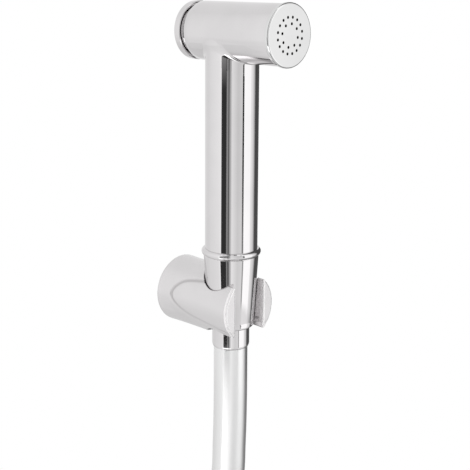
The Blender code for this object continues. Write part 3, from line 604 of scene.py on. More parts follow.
bead_middle = NUT_TOP + CLEARANCE + BEAD_HEIGHT / 2
BARREL_AXIS = Vector((0.0, -WALL_TO_BORE, bead_middle + HANDLE_LENGTH))
along_barrel = Matrix.Translation(BARREL_AXIS) @ Matrix.Rotation(math.pi / 2, 4, "X")
along_handle = Matrix.Translation((0.0, -WALL_TO_BORE, 0.0))


def rings(radius, high, low):
    """Closely spaced rings down a turned side, where another shape will be blended in."""
    count = round((high - low) / BLEND_STEP)
    return [(radius, high + (low - high) * i / count) for i in range(count + 1)]


barrel_shape = spun(
    [
        (0.0, BARREL_FRONT),
        (BARREL_RADIUS, BARREL_FRONT),
        *rings(BARREL_RADIUS, HANDLE_RADIUS + BLEND_ZONE, -HANDLE_RADIUS - BLEND_ZONE / 2),
        (BARREL_RADIUS, BARREL_REAR + BARREL_CHAMFER[1]),
        (BARREL_RADIUS - BARREL_CHAMFER[0], BARREL_REAR),
        (0.0, BARREL_REAR),
    ],
    steps=192,
)
handset = new_piece("handset", placed(barrel_shape, along_barrel), CHROME)

bead = [
    (
        HANDLE_RADIUS + (BEAD_RADIUS - HANDLE_RADIUS) * math.cos(math.radians(angle)),
        bead_middle + BEAD_HEIGHT / 2 * math.sin(math.radians(angle)),
    )
    for angle in range(90, -91, -12)
]
handle_shape = spun(
    [
        (0.0, BARREL_AXIS.z),
        (HANDLE_RADIUS, BARREL_AXIS.z),
        *rings(HANDLE_RADIUS, BARREL_AXIS.z - BLEND_STEP, BARREL_AXIS.z - BARREL_RADIUS - BLEND_ZONE),
        *bead,
        (SPIGOT_RADIUS, bead_middle - BEAD_HEIGHT / 2),
        (SPIGOT_RADIUS, SPIGOT_END),
        (0.0, SPIGOT_END),
    ],
    steps=192,
)
trimmed(handset, placed(handle_shape, along_handle), "UNION")


def off_barrel(spots):
    """How far each spot is outside the barrel's round side."""
    return np.hypot(spots[:, 0], spots[:, 2] - BARREL_AXIS.z) - BARREL_RADIUS


def off_handle(spots):
    """How far each spot is outside the handle's round side."""
    return np.hypot(spots[:, 0], spots[:, 1] + WALL_TO_BORE) - HANDLE_RADIUS


def skin(spots):
    """How far each spot is outside the casting, whose joint is ground most at its sides."""
    below = np.clip((BARREL_AXIS.z - spots[:, 2] - BLEND_SIDES[0]) / BLEND_SIDES[1], 0.0, 1.0)
    rounding = BLEND[0] + BLEND[1] * (spots[:, 0] / HANDLE_RADIUS) ** 2 * below
    barrel, handle = off_barrel(spots), off_handle(spots)
    hollow = np.hypot(np.maximum(rounding - barrel, 0.0), np.maximum(rounding - handle, 0.0))
    return np.maximum(rounding, np.minimum(barrel, handle)) - hollow


def by_joint(spots, surface):
    """Which spots lie on the outside near the joint of barrel and handle."""
    close = np.maximum(off_barrel(spots), off_handle(spots)) < BLEND_ZONE
    below = spots[:, 2] < BARREL_AXIS.z - BLEND_STEP
    return close & below & (np.abs(surface(spots)) < ON_SURFACE)


def slope_of(surface, spots):
    """The way out of a surface, given as a distance, at each spot."""
    sides = [surface(spots + shift) - surface(spots - shift) for shift in np.eye(3) * SLOPE_STEP]
    return np.stack(sides, axis=1) / (2 * SLOPE_STEP)


def drawn_onto(surface, spots, reach):
    """Move spots onto a surface in a few steps, none longer than the reach."""
    for _ in range(DRAWS):
        slope = slope_of(surface, spots)
        steep = np.maximum(np.einsum("ij,ij->i", slope, slope), LEAST_STEEP)
        move = slope * (surface(spots) / steep)[:, None]
        far = np.maximum(np.linalg.norm(move, axis=1) / reach, 1.0)
        spots = spots - move / far[:, None]
    return spots


def corners_of(mesh):
    """The places of a mesh's vertices."""
    spots = np.empty(len(mesh.vertices) * 3, dtype=np.float32)
    mesh.vertices.foreach_get("co", spots)
    return spots.reshape(-1, 3).astype(float)


spots = corners_of(handset.data)
joint = by_joint(spots, lambda here: np.minimum(off_barrel(here), off_handle(here)))
spots[joint] = drawn_onto(skin, spots[joint], BLEND_STEP)
handset.data.vertices.foreach_set("co", spots.ravel())

waterway = spun(
    [
        (0.0, 2 * BARREL_FRONT),
        (FRONT_SOCKET[0], 2 * BARREL_FRONT),
        FRONT_SOCKET,
        (FRONT_CHAMBER_RADIUS, FRONT_SOCKET[1]),
        (FRONT_CHAMBER_RADIUS, SEAT_FRONT),
        (SEAT_HOLE, SEAT_FRONT),
        (SEAT_HOLE, CHAMBER[1]),
        CHAMBER,
        (CHAMBER[0], -CHAMBER[1]),
        (GLAND_SOCKET[0], -CHAMBER[1]),
        GLAND_SOCKET,
        (REAR_SOCKET_RADIUS, GLAND_SOCKET[1]),
        (REAR_SOCKET_RADIUS, 2 * BARREL_REAR),
        (0.0, 2 * BARREL_REAR),
    ],
    steps=96,
)
trimmed(handset, placed(waterway, along_barrel))
inlet = spun(
    [
        (0.0, BARREL_AXIS.z),
        (HANDLE_BORE, BARREL_AXIS.z),
        (HANDLE_BORE, 0.0),
        (0.0, 0.0),
    ],
    steps=96,
)
trimmed(handset, placed(inlet, along_handle))
handset.data = shown(handset)
handset.modifiers.remove(handset.modifiers["even_shading"])
facing = np.empty(len(handset.data.loops) * 3, dtype=np.float32)
handset.data.corner_normals.foreach_get("vector", facing)
facing = facing.reshape(-1, 3)
owner = np.empty(len(handset.data.loops), dtype=np.int32)
handset.data.loops.foreach_get("vertex_index", owner)
spots = corners_of(handset.data)
joint = by_joint(spots, skin)
slope = np.zeros(spots.shape)
slope[joint] = slope_of(skin, spots[joint])
slope[joint] /= np.linalg.norm(slope[joint], axis=1)[:, None]
facing[joint[owner]] = slope[owner][joint[owner]]
handset.data.normals_split_custom_set(facing.tolist())
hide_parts("handset_body")

# Spray face: a turned and chromed brass cap that screws into the barrel. Its flat front
# is drilled with two rings of jets.
FRONT_REACH = 0.0321
FACE_RADIUS = 0.0131
FACE_RIM = 0.0019
FACE_THICKNESS = 0.0014
FACE_ROUNDING = 0.0008
FACE_SKIRT_RADIUS = 0.0107
FACE_SKIRT_END = 0.0252
FACE_RECESS = 0.0084
FACE_EDGE = 0.0002
SEAL_GROOVE = (0.0095, 0.0015)
SEAL_FROM_END = 0.0025
JET_RADIUS = 0.00061
JET_RINGS = ((16, 0.0073), (8, 0.0047))
JET_TURN = math.radians(11.25)
JETS_WITHIN = FACE_RECESS - 0.0005
RIM_STEPS = 6
FLAT_ON = 0.5
CAP_TINT = (0.721, 0.721, 0.721)
BORE_SHADE_COLOURS = ((0.010, 0.009, 0.008), (0.03, 0.028, 0.024))


def round_rim(shape, height, radius, width):
    """Round the edge of a turned shape at one height, outside the given radius."""
    rim = [
        edge
        for edge in shape.edges
        if all(
            abs(vert.co.z - height) < ON_SURFACE and vert.co.xy.length > radius - ON_SURFACE
            for vert in edge.verts
        )
    ]
    bevelled(shape, rim, width, RIM_STEPS)


groove_middle = FACE_SKIRT_END + SEAL_FROM_END
face_shape = spun(
    [
        (0.0, FRONT_REACH),
        (FACE_RADIUS, FRONT_REACH),
        (FACE_RADIUS, FRONT_REACH - FACE_RIM),
        (FACE_SKIRT_RADIUS, FRONT_REACH - FACE_RIM),
        (FACE_SKIRT_RADIUS, groove_middle + SEAL_GROOVE[1] / 2),
        (SEAL_GROOVE[0], groove_middle + SEAL_GROOVE[1] / 2),
        (SEAL_GROOVE[0], groove_middle - SEAL_GROOVE[1] / 2),
        (FACE_SKIRT_RADIUS, groove_middle - SEAL_GROOVE[1] / 2),
        (FACE_SKIRT_RADIUS, FACE_SKIRT_END),
        (FACE_RECESS, FACE_SKIRT_END),
        (FACE_RECESS, FRONT_REACH - FACE_THICKNESS),
        (0.0, FRONT_REACH - FACE_THICKNESS),
    ],
    steps=192,
)
round_rim(face_shape, FRONT_REACH, FACE_RADIUS, FACE_ROUNDING)
round_off(face_shape, FACE_EDGE)
cap_chrome = polished_chrome("cap_chrome", CAP_TINT)
face = new_piece("spray_cap", placed(face_shape, along_barrel), cap_chrome)
jets = bmesh.new()
for count, radius in JET_RINGS:
    for i in range(count):
        around = JET_TURN + 2 * math.pi * i / count
        spot = Vector((radius * math.sin(around), radius * math.cos(around), FRONT_REACH))
        bmesh.ops.create_cone(
            jets,
            cap_ends=True,
            segments=20,
            radius1=JET_RADIUS,
            radius2=JET_RADIUS,
            depth=4 * FACE_THICKNESS,
            matrix=along_barrel @ Matrix.Translation(spot),
        )
trimmed(face, jets)


def painted_bore_shade():
    """Near-black painted shade for the jets and the hollow behind the face, dull and grained."""
    material, tree, shader, place = new_material("painted_bore_shade")
    shade_grain = grain(tree, place, scale=900.0, detail=3.0)
    tinted(tree, shade_grain, BORE_SHADE_COLOURS, shader.inputs["Base Color"])
    shader.inputs["Roughness"].default_value = 0.8
    shader.inputs["Specular IOR Level"].default_value = 0.1
    return material


# Painted shade: the walls of the jets and the hollow behind the face take the near-black material.
face.data.materials.append(painted_bore_shade())
into_face = along_barrel.inverted()
for side in face.data.polygons:
    middle = into_face @ side.center
    in_jet = abs(side.normal.y) < FLAT_ON and middle.xy.length < JETS_WITHIN
    behind = side.normal.y > FLAT_ON and middle.xy.length < FACE_RECESS
    if middle.z > BARREL_FRONT and (in_jet or behind):
        side.material_index = 1
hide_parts("spray_face")
dress("face_seal", RUBBER)

# Thumb button: a turned and chromed brass cup at the back of the barrel. Its skirt slides
# in the rear socket against the spring, and the gap in front of its rim is its travel.
BUTTON_BACK = -0.0225
BUTTON_RADIUS = 0.0126
BUTTON_RIM = 0.0034
BUTTON_FACE = 0.0021
BUTTON_EDGE = 0.00035
BUTTON_SKIRT = (0.0107, 0.0088, -0.0162)
BUTTON_BOSS = (0.0042, -0.0175)
TAIL_HOLE = (0.0022, -0.0199)

button_shape = spun(
    [
        (0.0, TAIL_HOLE[1]),
        TAIL_HOLE,
        (TAIL_HOLE[0], BUTTON_BOSS[1]),
        BUTTON_BOSS,
        (BUTTON_BOSS[0], BUTTON_BACK + BUTTON_FACE),
        (BUTTON_SKIRT[1], BUTTON_BACK + BUTTON_FACE),
        (BUTTON_SKIRT[1], BUTTON_SKIRT[2]),
        (BUTTON_SKIRT[0], BUTTON_SKIRT[2]),
        (BUTTON_SKIRT[0], BUTTON_BACK + BUTTON_RIM),
        (BUTTON_RADIUS, BUTTON_BACK + BUTTON_RIM),
        (BUTTON_RADIUS, BUTTON_BACK),
        (0.0, BUTTON_BACK),
    ],
    steps=192,
    edge=BUTTON_EDGE,
)
button = new_piece("thumb_button", placed(button_shape, along_barrel), CHROME, body="button")
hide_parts("push_button")

# Valve inside the barrel: a bush, spindle and retainer of turned brass, and moulded
# rubber seals and washer. They keep the shape that the frame gives them.
for node in ("gland_bush", "valve_spindle", "valve_retainer"):
    dress(node, BRASS)
for node in ("gland_seal", "spindle_seal", "valve_washer"):
    dress(node, RUBBER)

# Return spring: stainless wire with fine drawing marks, wound on a mandrel. It stands
# between the bush and the floor of the button.
SPRING_RADIUS = 0.0065
SPRING_WIRE_RADIUS = 0.00045
SPRING_TURNS = 3
SPRING_STEPS = 36 * SPRING_TURNS
BUSH_REAR = -0.0144
SPRING_BACK = BUTTON_BACK + BUTTON_FACE + CLEARANCE + SPRING_WIRE_RADIUS
SPRING_FRONT = BUSH_REAR - CLEARANCE - SPRING_WIRE_RADIUS

SPRING_WIRE = grained(
    "spring_wire",
    metallic=1.0,
    size=(700.0, 3.0),
    colours=((0.50, 0.50, 0.51), (0.62, 0.62, 0.63)),
    roughness=(0.2, 0.34),
)
spring_shape = bmesh.new()
bmesh.ops.create_circle(
    spring_shape,
    radius=SPRING_WIRE_RADIUS,
    segments=12,
    matrix=Matrix.Translation((SPRING_RADIUS, 0.0, SPRING_BACK)) @ Matrix.Rotation(math.pi / 2, 4, "X"),
)
bmesh.ops.spin(
    spring_shape,
    geom=spring_shape.verts[:] + spring_shape.edges[:],
    cent=(0.0, 0.0, 0.0),
    axis=(0.0, 0.0, 1.0),
    dvec=(0.0, 0.0, (SPRING_FRONT - SPRING_BACK) / SPRING_STEPS),
    angle=2 * math.pi * SPRING_TURNS,
    steps=SPRING_STEPS,
)
bmesh.ops.holes_fill(spring_shape, edges=spring_shape.edges, sides=0)
bmesh.ops.recalc_face_normals(spring_shape, faces=spring_shape.faces)
placed(spring_shape, along_barrel)
spring = new_piece("coil_spring", spring_shape, SPRING_WIRE, body=None)
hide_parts("return_spring")
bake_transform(spring)

# Conical hose nut: chromed brass, turned, with a shallow groove near its small end. It
# screws on the handset's spigot, holds the upper tail, and seats in the bracket.
NUT_TOP_RADIUS = 0.0120
NUT_END_RADIUS = 0.00995
NUT_LENGTH = 0.0320
NUT_BAND = 0.0027
NUT_GROOVE = 0.0003
NUT_ROUNDING = 0.0007
LIP = (0.0047, 0.0067)

nut_end = NUT_TOP - NUT_LENGTH
taper = (NUT_TOP_RADIUS - NUT_END_RADIUS) / NUT_LENGTH


def nut_radius(height):
    """The nut's outside at a height: wide at the top, and tapered evenly."""
    return NUT_TOP_RADIUS - (NUT_TOP - height) * taper


groove = nut_end + NUT_BAND
cone_shape = spun(
    [
        (nut_radius(NUT_TOP), NUT_TOP),
        (nut_radius(groove + NUT_GROOVE), groove + NUT_GROOVE),
        (nut_radius(groove) - NUT_GROOVE, groove),
        (nut_radius(groove - NUT_GROOVE), groove - NUT_GROOVE),
        (nut_radius(nut_end), nut_end),
        (FERRULE_RADIUS + CLEARANCE, nut_end),
        (FERRULE_RADIUS + CLEARANCE, LIP[0]),
        (TAIL_NECK_RADIUS + CLEARANCE, LIP[0]),
        (TAIL_NECK_RADIUS + CLEARANCE, LIP[1]),
        (SOCKET_RADIUS, LIP[1]),
        (SOCKET_RADIUS, NUT_TOP),
    ],
    steps=192,
    closed=True,
)
round_rim(cone_shape, nut_end, nut_radius(nut_end), NUT_ROUNDING)
cone = new_piece("cone_nut", placed(cone_shape, along_handle), CHROME)
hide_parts("hose_cone_nut")

# Wall bracket: one zinc casting, polished and chromed. A round flange on the wall runs
# out into a web that is taller than wide; the round arm swells out of it along a soft
# valley, and has a tapered bore for the nut and a slot that lets the hose in.
FLANGE_RADIUS = 0.0151
FLANGE_RIM = 0.0012
FLARE_LENGTH = 0.030
WEB = (0.01405, 0.0149)
ARM_RADIUS = 0.01445
ARM_FRONT = 0.0435
SLOT_WIDTH = 0.0176
PLATE = (0.0107, 0.0045)
CORE = (0.0090, 0.0165)
GRUB_RADIUS = 0.0015
LIP_ROUNDING = 0.0007
LIP_FACING = -0.97
CAST_EDGE = 0.0002
OVERCUT = 0.010
MESH_SIZE = 0.00035
PATH_STEPS = 4
CAST_COLOURS = ((0.705, 0.691, 0.697), (0.725, 0.711, 0.717))
CAST_ROUGHNESS = (0.2, 0.24)
# Painted shade: the valley's line is coloured darker.
PAINTED_VALLEY_SHADE = (0.50, 0.485, 0.49, 1.0)
# Painted highlight: the rounded front lip is coloured near white, and it is also rougher.
PAINTED_LIP_HIGHLIGHT = (0.98, 0.965, 0.97, 1.0)
LIP_ROUGHNESS = 0.6
MM_PER_METRE = 1000.0
VALLEY = [
    (28.0, 49.0),
    (25.2, 46.7),
    (20.2, 43.0),
    (14.9, 37.0),
    (11.3, 27.0),
    (9.1, 15.5),
    (8.6, 5.5),
    (9.9, -3.5),
    (12.9, -11.6),
    (16.3, -17.8),
    (20.3, -22.4),
    (26.0, -26.6),
    (32.2, -31.0),
    (38.3, -36.1),
    (44.0, -41.0),
]
VALLEY_DEPTH = 0.00040
VALLEY_WIDTH = 0.00075
VALLEY_FADE = ((-0.004, 0.001), (0.45, 1.0))


def cast_chrome():
    """Chrome on a die casting, softer than on brass; painted shade in the valley, painted highlight on
    the lip.
    """
    material, tree, shader, place = new_material("cast_chrome", metallic=1.0)
    painted_light_and_haze = (
        ("RGBA", "painted_valley_shade", PAINTED_VALLEY_SHADE),
        ("RGBA", "lip", PAINTED_LIP_HIGHLIGHT),
        ("FLOAT", "lip", LIP_ROUGHNESS),
    )
    mixes = []
    for kind, field, value in painted_light_and_haze:
        where = tree.nodes.new("ShaderNodeAttribute")
        where.attribute_name = field
        mix = tree.nodes.new("ShaderNodeMix")
        mix.data_type = kind
        mix.inputs["B"].default_value = value
        tree.links.new(where.outputs["Fac"], mix.inputs["Factor"])
        mixes.append(mix)
    # The first mix paints shade along the valley, the second paints a highlight on the lip, the third
    # roughens the lip.
    dull, bright, haze = mixes
    tinted(tree, grain(tree, place, scale=90.0, detail=3.0), CAST_COLOURS, dull.inputs["A"])
    tree.links.new(dull.outputs["Result"], bright.inputs["A"])
    tree.links.new(bright.outputs["Result"], shader.inputs["Base Color"])
    ranged(tree, grain(tree, place, scale=700.0, detail=2.0), CAST_ROUGHNESS, haze.inputs["A"])
    tree.links.new(haze.outputs["Result"], shader.inputs["Roughness"])
    return material


from_wall = Matrix.Rotation(math.pi / 2, 4, "X")
block = bmesh.new()
bmesh.ops.create_cone(
    block,
    cap_ends=True,
    segments=96,
    radius1=FLANGE_RADIUS,
    radius2=ARM_RADIUS,
    depth=ARM_FRONT,
    matrix=from_wall @ Matrix.Translation((0.0, 0.0, ARM_FRONT / 2)),
)
bracket = new_piece("bracket", block, cast_chrome())

bore_top = NUT_TOP + OVERCUT
bore_foot = -2 * ARM_RADIUS
bore = spun(
    [
        (0.0, bore_top),
        (nut_radius(bore_top) + CLEARANCE, bore_top),
        (nut_radius(bore_foot) + CLEARANCE, bore_foot),
        (0.0, bore_foot),
    ],
    steps=160,
)
trimmed(bracket, placed(bore, along_handle))
slot_shape = bmesh.new()
slot_reach = WALL_TO_BORE + ARM_RADIUS
bmesh.ops.create_cube(
    slot_shape,
    size=1.0,
    matrix=Matrix.Translation((0.0, -WALL_TO_BORE - slot_reach / 2, 0.0))
    @ Matrix.Diagonal((SLOT_WIDTH, slot_reach, 4 * ARM_RADIUS, 1.0)),
)
trimmed(bracket, slot_shape)
recess = spun(
    [
        (0.0, CORE[1]),
        CORE,
        (CORE[0], PLATE[1] + CLEARANCE),
        (PLATE[0] + CLEARANCE, PLATE[1] + CLEARANCE),
        (PLATE[0] + CLEARANCE, -FLANGE_RIM),
        (0.0, -FLANGE_RIM),
    ],
    steps=96,
)
trimmed(bracket, placed(recess, from_wall))
screw_way = bmesh.new()
bmesh.ops.create_cone(
    screw_way,
    cap_ends=True,
    segments=32,
    radius1=GRUB_RADIUS + CLEARANCE,
    radius2=GRUB_RADIUS + CLEARANCE,
    depth=FLANGE_RADIUS,
    matrix=Matrix.Translation((0.0, -PLATE[1] / 2, -FLANGE_RADIUS)),
)
trimmed(bracket, screw_way)


def eased(b, s, e, a, t):
    """A number on the way from s to e, smooth with b before them and a after them."""
    curve = 2 * s + (e - b) * t + (2 * b - 5 * s + 4 * e - a) * t**2 + (3 * s - b - 3 * e + a) * t**3
    return 0.5 * curve


def softened(points):
    """A smooth path through the points, with a few steps to each stretch."""
    ends = [points[0], *points, points[-1]]
    path = [
        tuple(eased(*four, i / PATH_STEPS) for four in zip(*stretch))
        for stretch in zip(ends, ends[1:], ends[2:], ends[3:])
        for i in range(PATH_STEPS)
    ]
    return [*path, points[-1]]


valley = softened([(away / MM_PER_METRE, math.radians(turn) * ARM_RADIUS) for away, turn in VALLEY])


def off_valley(away, along):
    """How far each spot on the arm is from the valley's line, both unrolled flat."""
    nearest = np.full(away.shape, 1.0)
    for (start, low), (end, high) in zip(valley, valley[1:]):
        run, rise = end - start, high - low
        share = np.clip(((away - start) * run + (along - low) * rise) / (run**2 + rise**2), 0.0, 1.0)
        nearest = np.minimum(nearest, np.hypot(away - start - share * run, along - low - share * rise))
    return nearest


def valley_at(away, along):
    """How much of the valley there is at each spot; it is fainter under the arm."""
    return np.interp(along, *VALLEY_FADE) * np.exp(-((off_valley(away, along) / VALLEY_WIDTH) ** 2))


def both(first, second, rounding):
    """Depth inside two shapes at once, with the edge where they meet rounded."""
    corner = np.hypot(np.maximum(first + rounding, 0.0), np.maximum(second + rounding, 0.0))
    return np.minimum(np.maximum(first, second), -rounding) + corner


def casting(spots):
    """How far each spot is outside the casting; negative in the metal."""
    x, y, z = spots.T
    away = -y
    out = np.hypot(x, z)
    rest = np.maximum(0.0, 1.0 - np.maximum(0.0, away - FLANGE_RIM) / FLARE_LENGTH) ** 4
    wide = WEB[0] + (FLANGE_RADIUS - WEB[0]) * rest
    tall = WEB[1] + (FLANGE_RADIUS - WEB[1]) * rest
    foot = out / np.hypot(x / wide, z / tall)
    along = np.arctan2(z, np.abs(x)) * ARM_RADIUS
    dip = VALLEY_DEPTH * valley_at(away, along)
    shell = both(out - np.maximum(foot, ARM_RADIUS) + dip, away - ARM_FRONT, LIP_ROUNDING)
    shell = both(shell, -away, CAST_EDGE)
    in_bore = np.hypot(x, y + WALL_TO_BORE) - nut_radius(z) - CLEARANCE
    in_slot = np.maximum(np.abs(x) - SLOT_WIDTH / 2, y + WALL_TO_BORE)
    jaws = both(shell, both(-in_bore, -in_slot, CAST_EDGE), LIP_ROUNDING)
    in_recess = np.maximum(out - PLATE[0] - CLEARANCE, away - PLATE[1] - CLEARANCE)
    in_core = np.maximum(out - CORE[0], away - CORE[1])
    in_way = np.maximum(np.hypot(x, away - PLATE[1] / 2) - GRUB_RADIUS - CLEARANCE, z + PLATE[0] / 2)
    return both(jaws, -np.minimum(np.minimum(in_recess, in_core), in_way), CAST_EDGE)


def settled(piece):
    """Draw an even mesh of the bracket onto the casting's surface."""
    even = piece.modifiers.new("even_mesh", "REMESH")
    even.mode = "VOXEL"
    even.voxel_size = MESH_SIZE
    piece.modifiers.remove(piece.modifiers["even_shading"])
    piece.data = shown(piece)
    piece.modifiers.remove(even)
    for calm in (True, True, False):
        spots = drawn_onto(casting, corners_of(piece.data), MESH_SIZE)
        piece.data.vertices.foreach_set("co", spots.ravel())
        if calm:
            worked = reshape(piece)
            bmesh.ops.smooth_vert(
                worked,
                verts=worked.verts,
                factor=0.5,
                use_axis_x=True,
                use_axis_y=True,
                use_axis_z=True,
            )
            store(piece, worked)
    # The valley's painted shade, kept off the wall plate's recess and stored for the material.
    along = np.arctan2(spots[:, 2], np.abs(spots[:, 0])) * ARM_RADIUS
    painted_valley_shade = valley_at(-spots[:, 1], along)
    painted_valley_shade[np.hypot(spots[:, 0], spots[:, 2]) < PLATE[0]] = 0.0
    piece.data.attributes.new("painted_valley_shade", "FLOAT", "POINT").data.foreach_set("value", painted_valley_shade)
    slope = slope_of(casting, spots)
    slope /= np.linalg.norm(slope, axis=1)[:, None]
    # Where the front lip is, for its painted highlight and its rougher finish.
    at_lip = (-spots[:, 1] > ARM_FRONT - 2 * LIP_ROUNDING) & (slope[:, 1] > LIP_FACING)
    piece.data.attributes.new("lip", "FLOAT", "POINT").data.foreach_set("value", at_lip.astype(float))
    piece.data.shade_smooth()
    piece.data.normals_split_custom_set_from_vertices(slope.tolist())


settled(bracket)
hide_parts("wall_bracket")

# Mounting plate and grub screw: a steel disc with satin zinc plating, which two screws
# hold on the wall, and the oil blackened screw that locks the bracket on it.
ZINC = grained(
    "zinc_plate",
    metallic=1.0,
    size=(220.0, 4.0),
    colours=((0.52, 0.53, 0.54), (0.64, 0.64, 0.62)),
    roughness=(0.3, 0.45),
    depth=0.00002,
)
BLACK_OXIDE = grained(
    "black_oxide",
    metallic=1.0,
    size=(500.0, 3.0),
    colours=((0.05, 0.05, 0.055), (0.11, 0.11, 0.115)),
    roughness=(0.35, 0.5),
)
dress("mounting_plate", ZINC)
dress("bracket_screw", BLACK_OXIDE)

# Studio: a white surround that lights everything evenly, and a sheet of white paper well
# below the hose, which shows its own soft shadow near the object and is white beyond it.
FLOOR = -0.42
FLOOR_RADIUS = 6.0
SHADOW_REACH = 0.6
ANY_HEIGHT = 1000.0
SURROUND = 0.78
toward_camera = math.atan2(CAMERA_PLACE[1] + WALL_TO_BORE, CAMERA_PLACE[0])


def seen_white(tree, other):
    """White for the eye and in reflections; the other shader for everything else."""
    rays = tree.nodes.new("ShaderNodeLightPath")
    seen = rays.outputs["Is Camera Ray"]
    for kind in ("Is Glossy Ray", "Is Transmission Ray"):
        either = tree.nodes.new("ShaderNodeMath")
        either.operation = "MAXIMUM"
        tree.links.new(seen, either.inputs[0])
        tree.links.new(rays.outputs[kind], either.inputs[1])
        seen = either.outputs["Value"]
    mix = tree.nodes.new("ShaderNodeMixShader")
    tree.links.new(seen, mix.inputs["Fac"])
    tree.links.new(other, mix.inputs[1])
    return mix


world = bpy.data.worlds.new("surround")
world.use_nodes = True
sky = world.node_tree
bounce = sky.nodes["Background"]
bounce.inputs["Color"].default_value = (1.0, 1.0, 1.0, 1.0)
bounce.inputs["Strength"].default_value = SURROUND
white = sky.nodes.new("ShaderNodeBackground")
white.inputs["Color"].default_value = (1.0, 1.0, 1.0, 1.0)
white.inputs["Strength"].default_value = 1.0
mixed = seen_white(sky, bounce.outputs["Background"])
sky.links.new(white.outputs["Background"], mixed.inputs[2])
sky.links.new(mixed.outputs["Shader"], sky.nodes["World Output"].inputs["Surface"])
bpy.context.scene.world = world

floor_shape = bmesh.new()
bmesh.ops.create_circle(
    floor_shape,
    cap_ends=True,
    segments=64,
    radius=FLOOR_RADIUS,
    matrix=Matrix.Translation((0.0, 0.0, FLOOR)),
)
floor = added("floor", floor_shape)
paper, tree, shader, place = new_material("white_paper")
shader.inputs["Base Color"].default_value = (0.95, 0.95, 0.95, 1.0)
shader.inputs["Roughness"].default_value = 0.9
glow = tree.nodes.new("ShaderNodeEmission")
mixed = seen_white(tree, shader.outputs["BSDF"])
tree.links.new(glow.outputs["Emission"], mixed.inputs[2])
near = tree.nodes.new("ShaderNodeTexGradient")
near.gradient_type = "SPHERICAL"
spread_out = tree.nodes.new("ShaderNodeMapping")
spread_out.vector_type = "TEXTURE"
spread_out.inputs["Scale"].default_value = (SHADOW_REACH, SHADOW_REACH, ANY_HEIGHT)
tree.links.new(place.outputs["Object"], spread_out.inputs["Vector"])
tree.links.new(spread_out.outputs["Vector"], near.inputs["Vector"])
faded = tree.nodes.new("ShaderNodeMixShader")
tree.links.new(near.outputs["Fac"], faded.inputs["Fac"])
tree.links.new(mixed.outputs["Shader"], faded.inputs[1])
tree.links.new(shader.outputs["BSDF"], faded.inputs[2])
tree.links.new(faded.outputs["Shader"], tree.nodes["Material Output"].inputs["Surface"])
floor.data.materials.append(paper)

# Light tent: pale cloth panels round the handset and on the table below it, with dark
# gaps where its frame and the camera show. Each panel has its azimuths beside the
# camera in degrees, how much brighter it ends, and its brightness from floor to top.
TABLE = FLOOR + 0.002
TENT_ROWS = [
    (0.12, TABLE, "under"),
    (0.42, TABLE, "under"),
    (0.50, TABLE, "table"),
    (0.88, TABLE, "table"),
    (0.95, TABLE, "foot"),
    (1.30, TABLE, "foot"),
    (1.30, -0.20, "wall"),
    (1.30, -0.05, "wall"),
    (1.30, 0.05, "head"),
    (1.30, 1.80, "top"),
    (0.12, 2.00, "top"),
]
HEIGHTS = ("under", "table", "foot", "wall", "head", "top")
COLUMN_DEGREES = 6.0
PANELS = [
    (-195.0, -150.0, 1.00, 0.74, 0.74, 0.86, 0.90, 0.90, 0.90),
    (-150.0, -120.0, 1.00, 0.78, 0.76, 0.86, 0.90, 0.90, 0.90),
    (-120.0, -95.0, 1.09, 0.84, 0.80, 0.86, 0.90, 0.90, 0.90),
    (-95.0, -52.0, 1.10, 0.90, 0.90, 0.92, 0.98, 0.98, 0.98),
    (-52.0, -45.5, 1.08, 0.30, 2.20, 1.05, 1.06, 1.20, 1.10),
    (-45.5, -41.0, 0.80, 0.20, 2.20, 0.04, 0.07, 0.65, 0.60),
    (-41.0, -24.0, 0.90, 0.20, 2.20, 0.04, 0.04, 0.52, 0.50),
    (-24.0, -20.5, 1.00, 0.20, 2.20, 0.06, 0.06, 0.20, 0.35),
    (-20.5, -15.5, 0.80, 0.20, 2.20, 0.34, 0.38, 0.42, 0.40),
    (-15.5, -10.5, 1.20, 0.20, 1.50, 0.08, 0.09, 0.16, 0.25),
    (-10.5, -2.0, 1.90, 0.30, 1.08, 0.36, 0.36, 0.30, 0.40),
    (-2.0, 2.0, 1.30, 0.50, 1.08, 0.86, 0.80, 0.90, 0.90),
    (2.0, 26.0, 0.78, 0.60, 1.05, 1.10, 1.00, 1.00, 1.00),
    (26.0, 46.8, 1.08, 0.60, 0.82, 0.86, 0.78, 0.76, 0.80),
    (46.8, 52.2, 1.00, 0.50, 0.90, 0.42, 0.02, 0.08, 0.40),
    (52.2, 54.0, 1.00, 0.50, 1.00, 1.20, 1.20, 0.50, 0.70),
    (54.0, 88.0, 0.97, 0.50, 1.02, 1.40, 1.35, 1.35, 1.30),
    (88.0, 100.0, 0.85, 0.50, 0.90, 1.05, 1.13, 1.17, 0.70),
    (100.0, 110.0, 0.70, 0.40, 0.55, 0.90, 0.90, 0.95, 0.40),
    (110.0, 116.0, 0.60, 0.35, 0.50, 0.40, 0.50, 0.50, 0.25),
    (116.0, 165.0, 1.20, 0.20, 0.20, 0.09, 0.08, 0.07, 0.10),
]

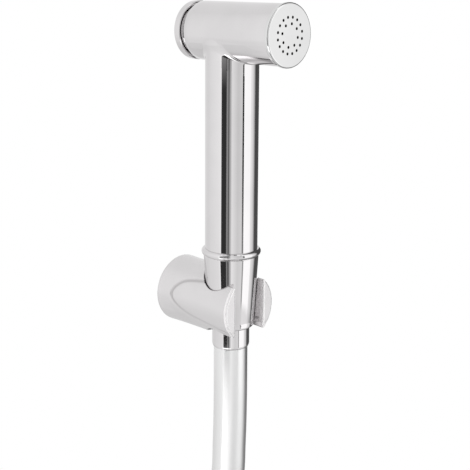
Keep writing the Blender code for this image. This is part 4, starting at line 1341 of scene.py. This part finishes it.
tent_shape = bmesh.new()
glow_layer = tent_shape.verts.layers.float_color.new("glow")
for start, stop, ending, *levels in PANELS:
    columns = max(1, round((stop - start) / COLUMN_DEGREES))
    rows = len(TENT_ROWS) - 1
    made = bmesh.ops.create_grid(tent_shape, x_segments=columns, y_segments=rows, size=0.5)
    for vert in made["verts"]:
        share = vert.co.x + 0.5
        reach, height, level_name = TENT_ROWS[round((vert.co.y + 0.5) * rows)]
        angle = toward_camera + math.radians(start + (stop - start) * share)
        shade = levels[HEIGHTS.index(level_name)] * (1.0 + (ending - 1.0) * share)
        vert.co = (reach * math.cos(angle), reach * math.sin(angle) - WALL_TO_BORE, height)
        vert[glow_layer] = (shade, shade, shade, 1.0)
tent = added("light_tent", tent_shape)
cloth = bpy.data.materials.new("tent_cloth")
cloth.use_nodes = True
tree = cloth.node_tree
shades = tree.nodes.new("ShaderNodeVertexColor")
shades.layer_name = "glow"
glow = tree.nodes.new("ShaderNodeEmission")
tree.links.new(shades.outputs["Color"], glow.inputs["Color"])
tree.links.new(glow.outputs["Emission"], tree.nodes["Material Output"].inputs["Surface"])
tent.data.materials.append(cloth)
tent.visible_camera = False
tent.visible_diffuse = False
tent.visible_shadow = False
tent.visible_transmission = False

# Soft lights: a large one where a window would be, and a smaller one beside the camera.
# They light the matt pieces and cast the soft shadows, but don't show in the chrome.
LIGHT_AWAY = 1.1
LIGHT_AIM = 0.05


def soft_light(name, azimuth, height, size, power):
    """A rectangular soft light that faces the handset from an azimuth beside the camera."""
    lamp = bpy.data.lights.new(name, "AREA")
    lamp.shape = "RECTANGLE"
    lamp.size, lamp.size_y = size
    lamp.energy = power
    light = bpy.data.objects.new(name, lamp)
    angle = toward_camera + math.radians(azimuth)
    direction = Vector((math.cos(angle), math.sin(angle), 0.0))
    aim = Vector((0.0, -WALL_TO_BORE, LIGHT_AIM))
    spot = Vector((0.0, -WALL_TO_BORE, height)) + direction * LIGHT_AWAY
    toward_aim = (spot - aim).to_track_quat("Z", "Y").to_matrix().to_4x4()
    light.matrix_world = Matrix.Translation(spot) @ toward_aim
    bpy.context.scene.collection.objects.link(light)
    light.visible_camera = False
    light.visible_glossy = False


soft_light("soft_window", azimuth=72.0, height=0.35, size=(0.6, 0.9), power=2.4)
soft_light("fill_light", azimuth=-16.0, height=0.6, size=(0.5, 0.5), power=1.6)

bpy.context.scene.view_settings.view_transform = "Standard"
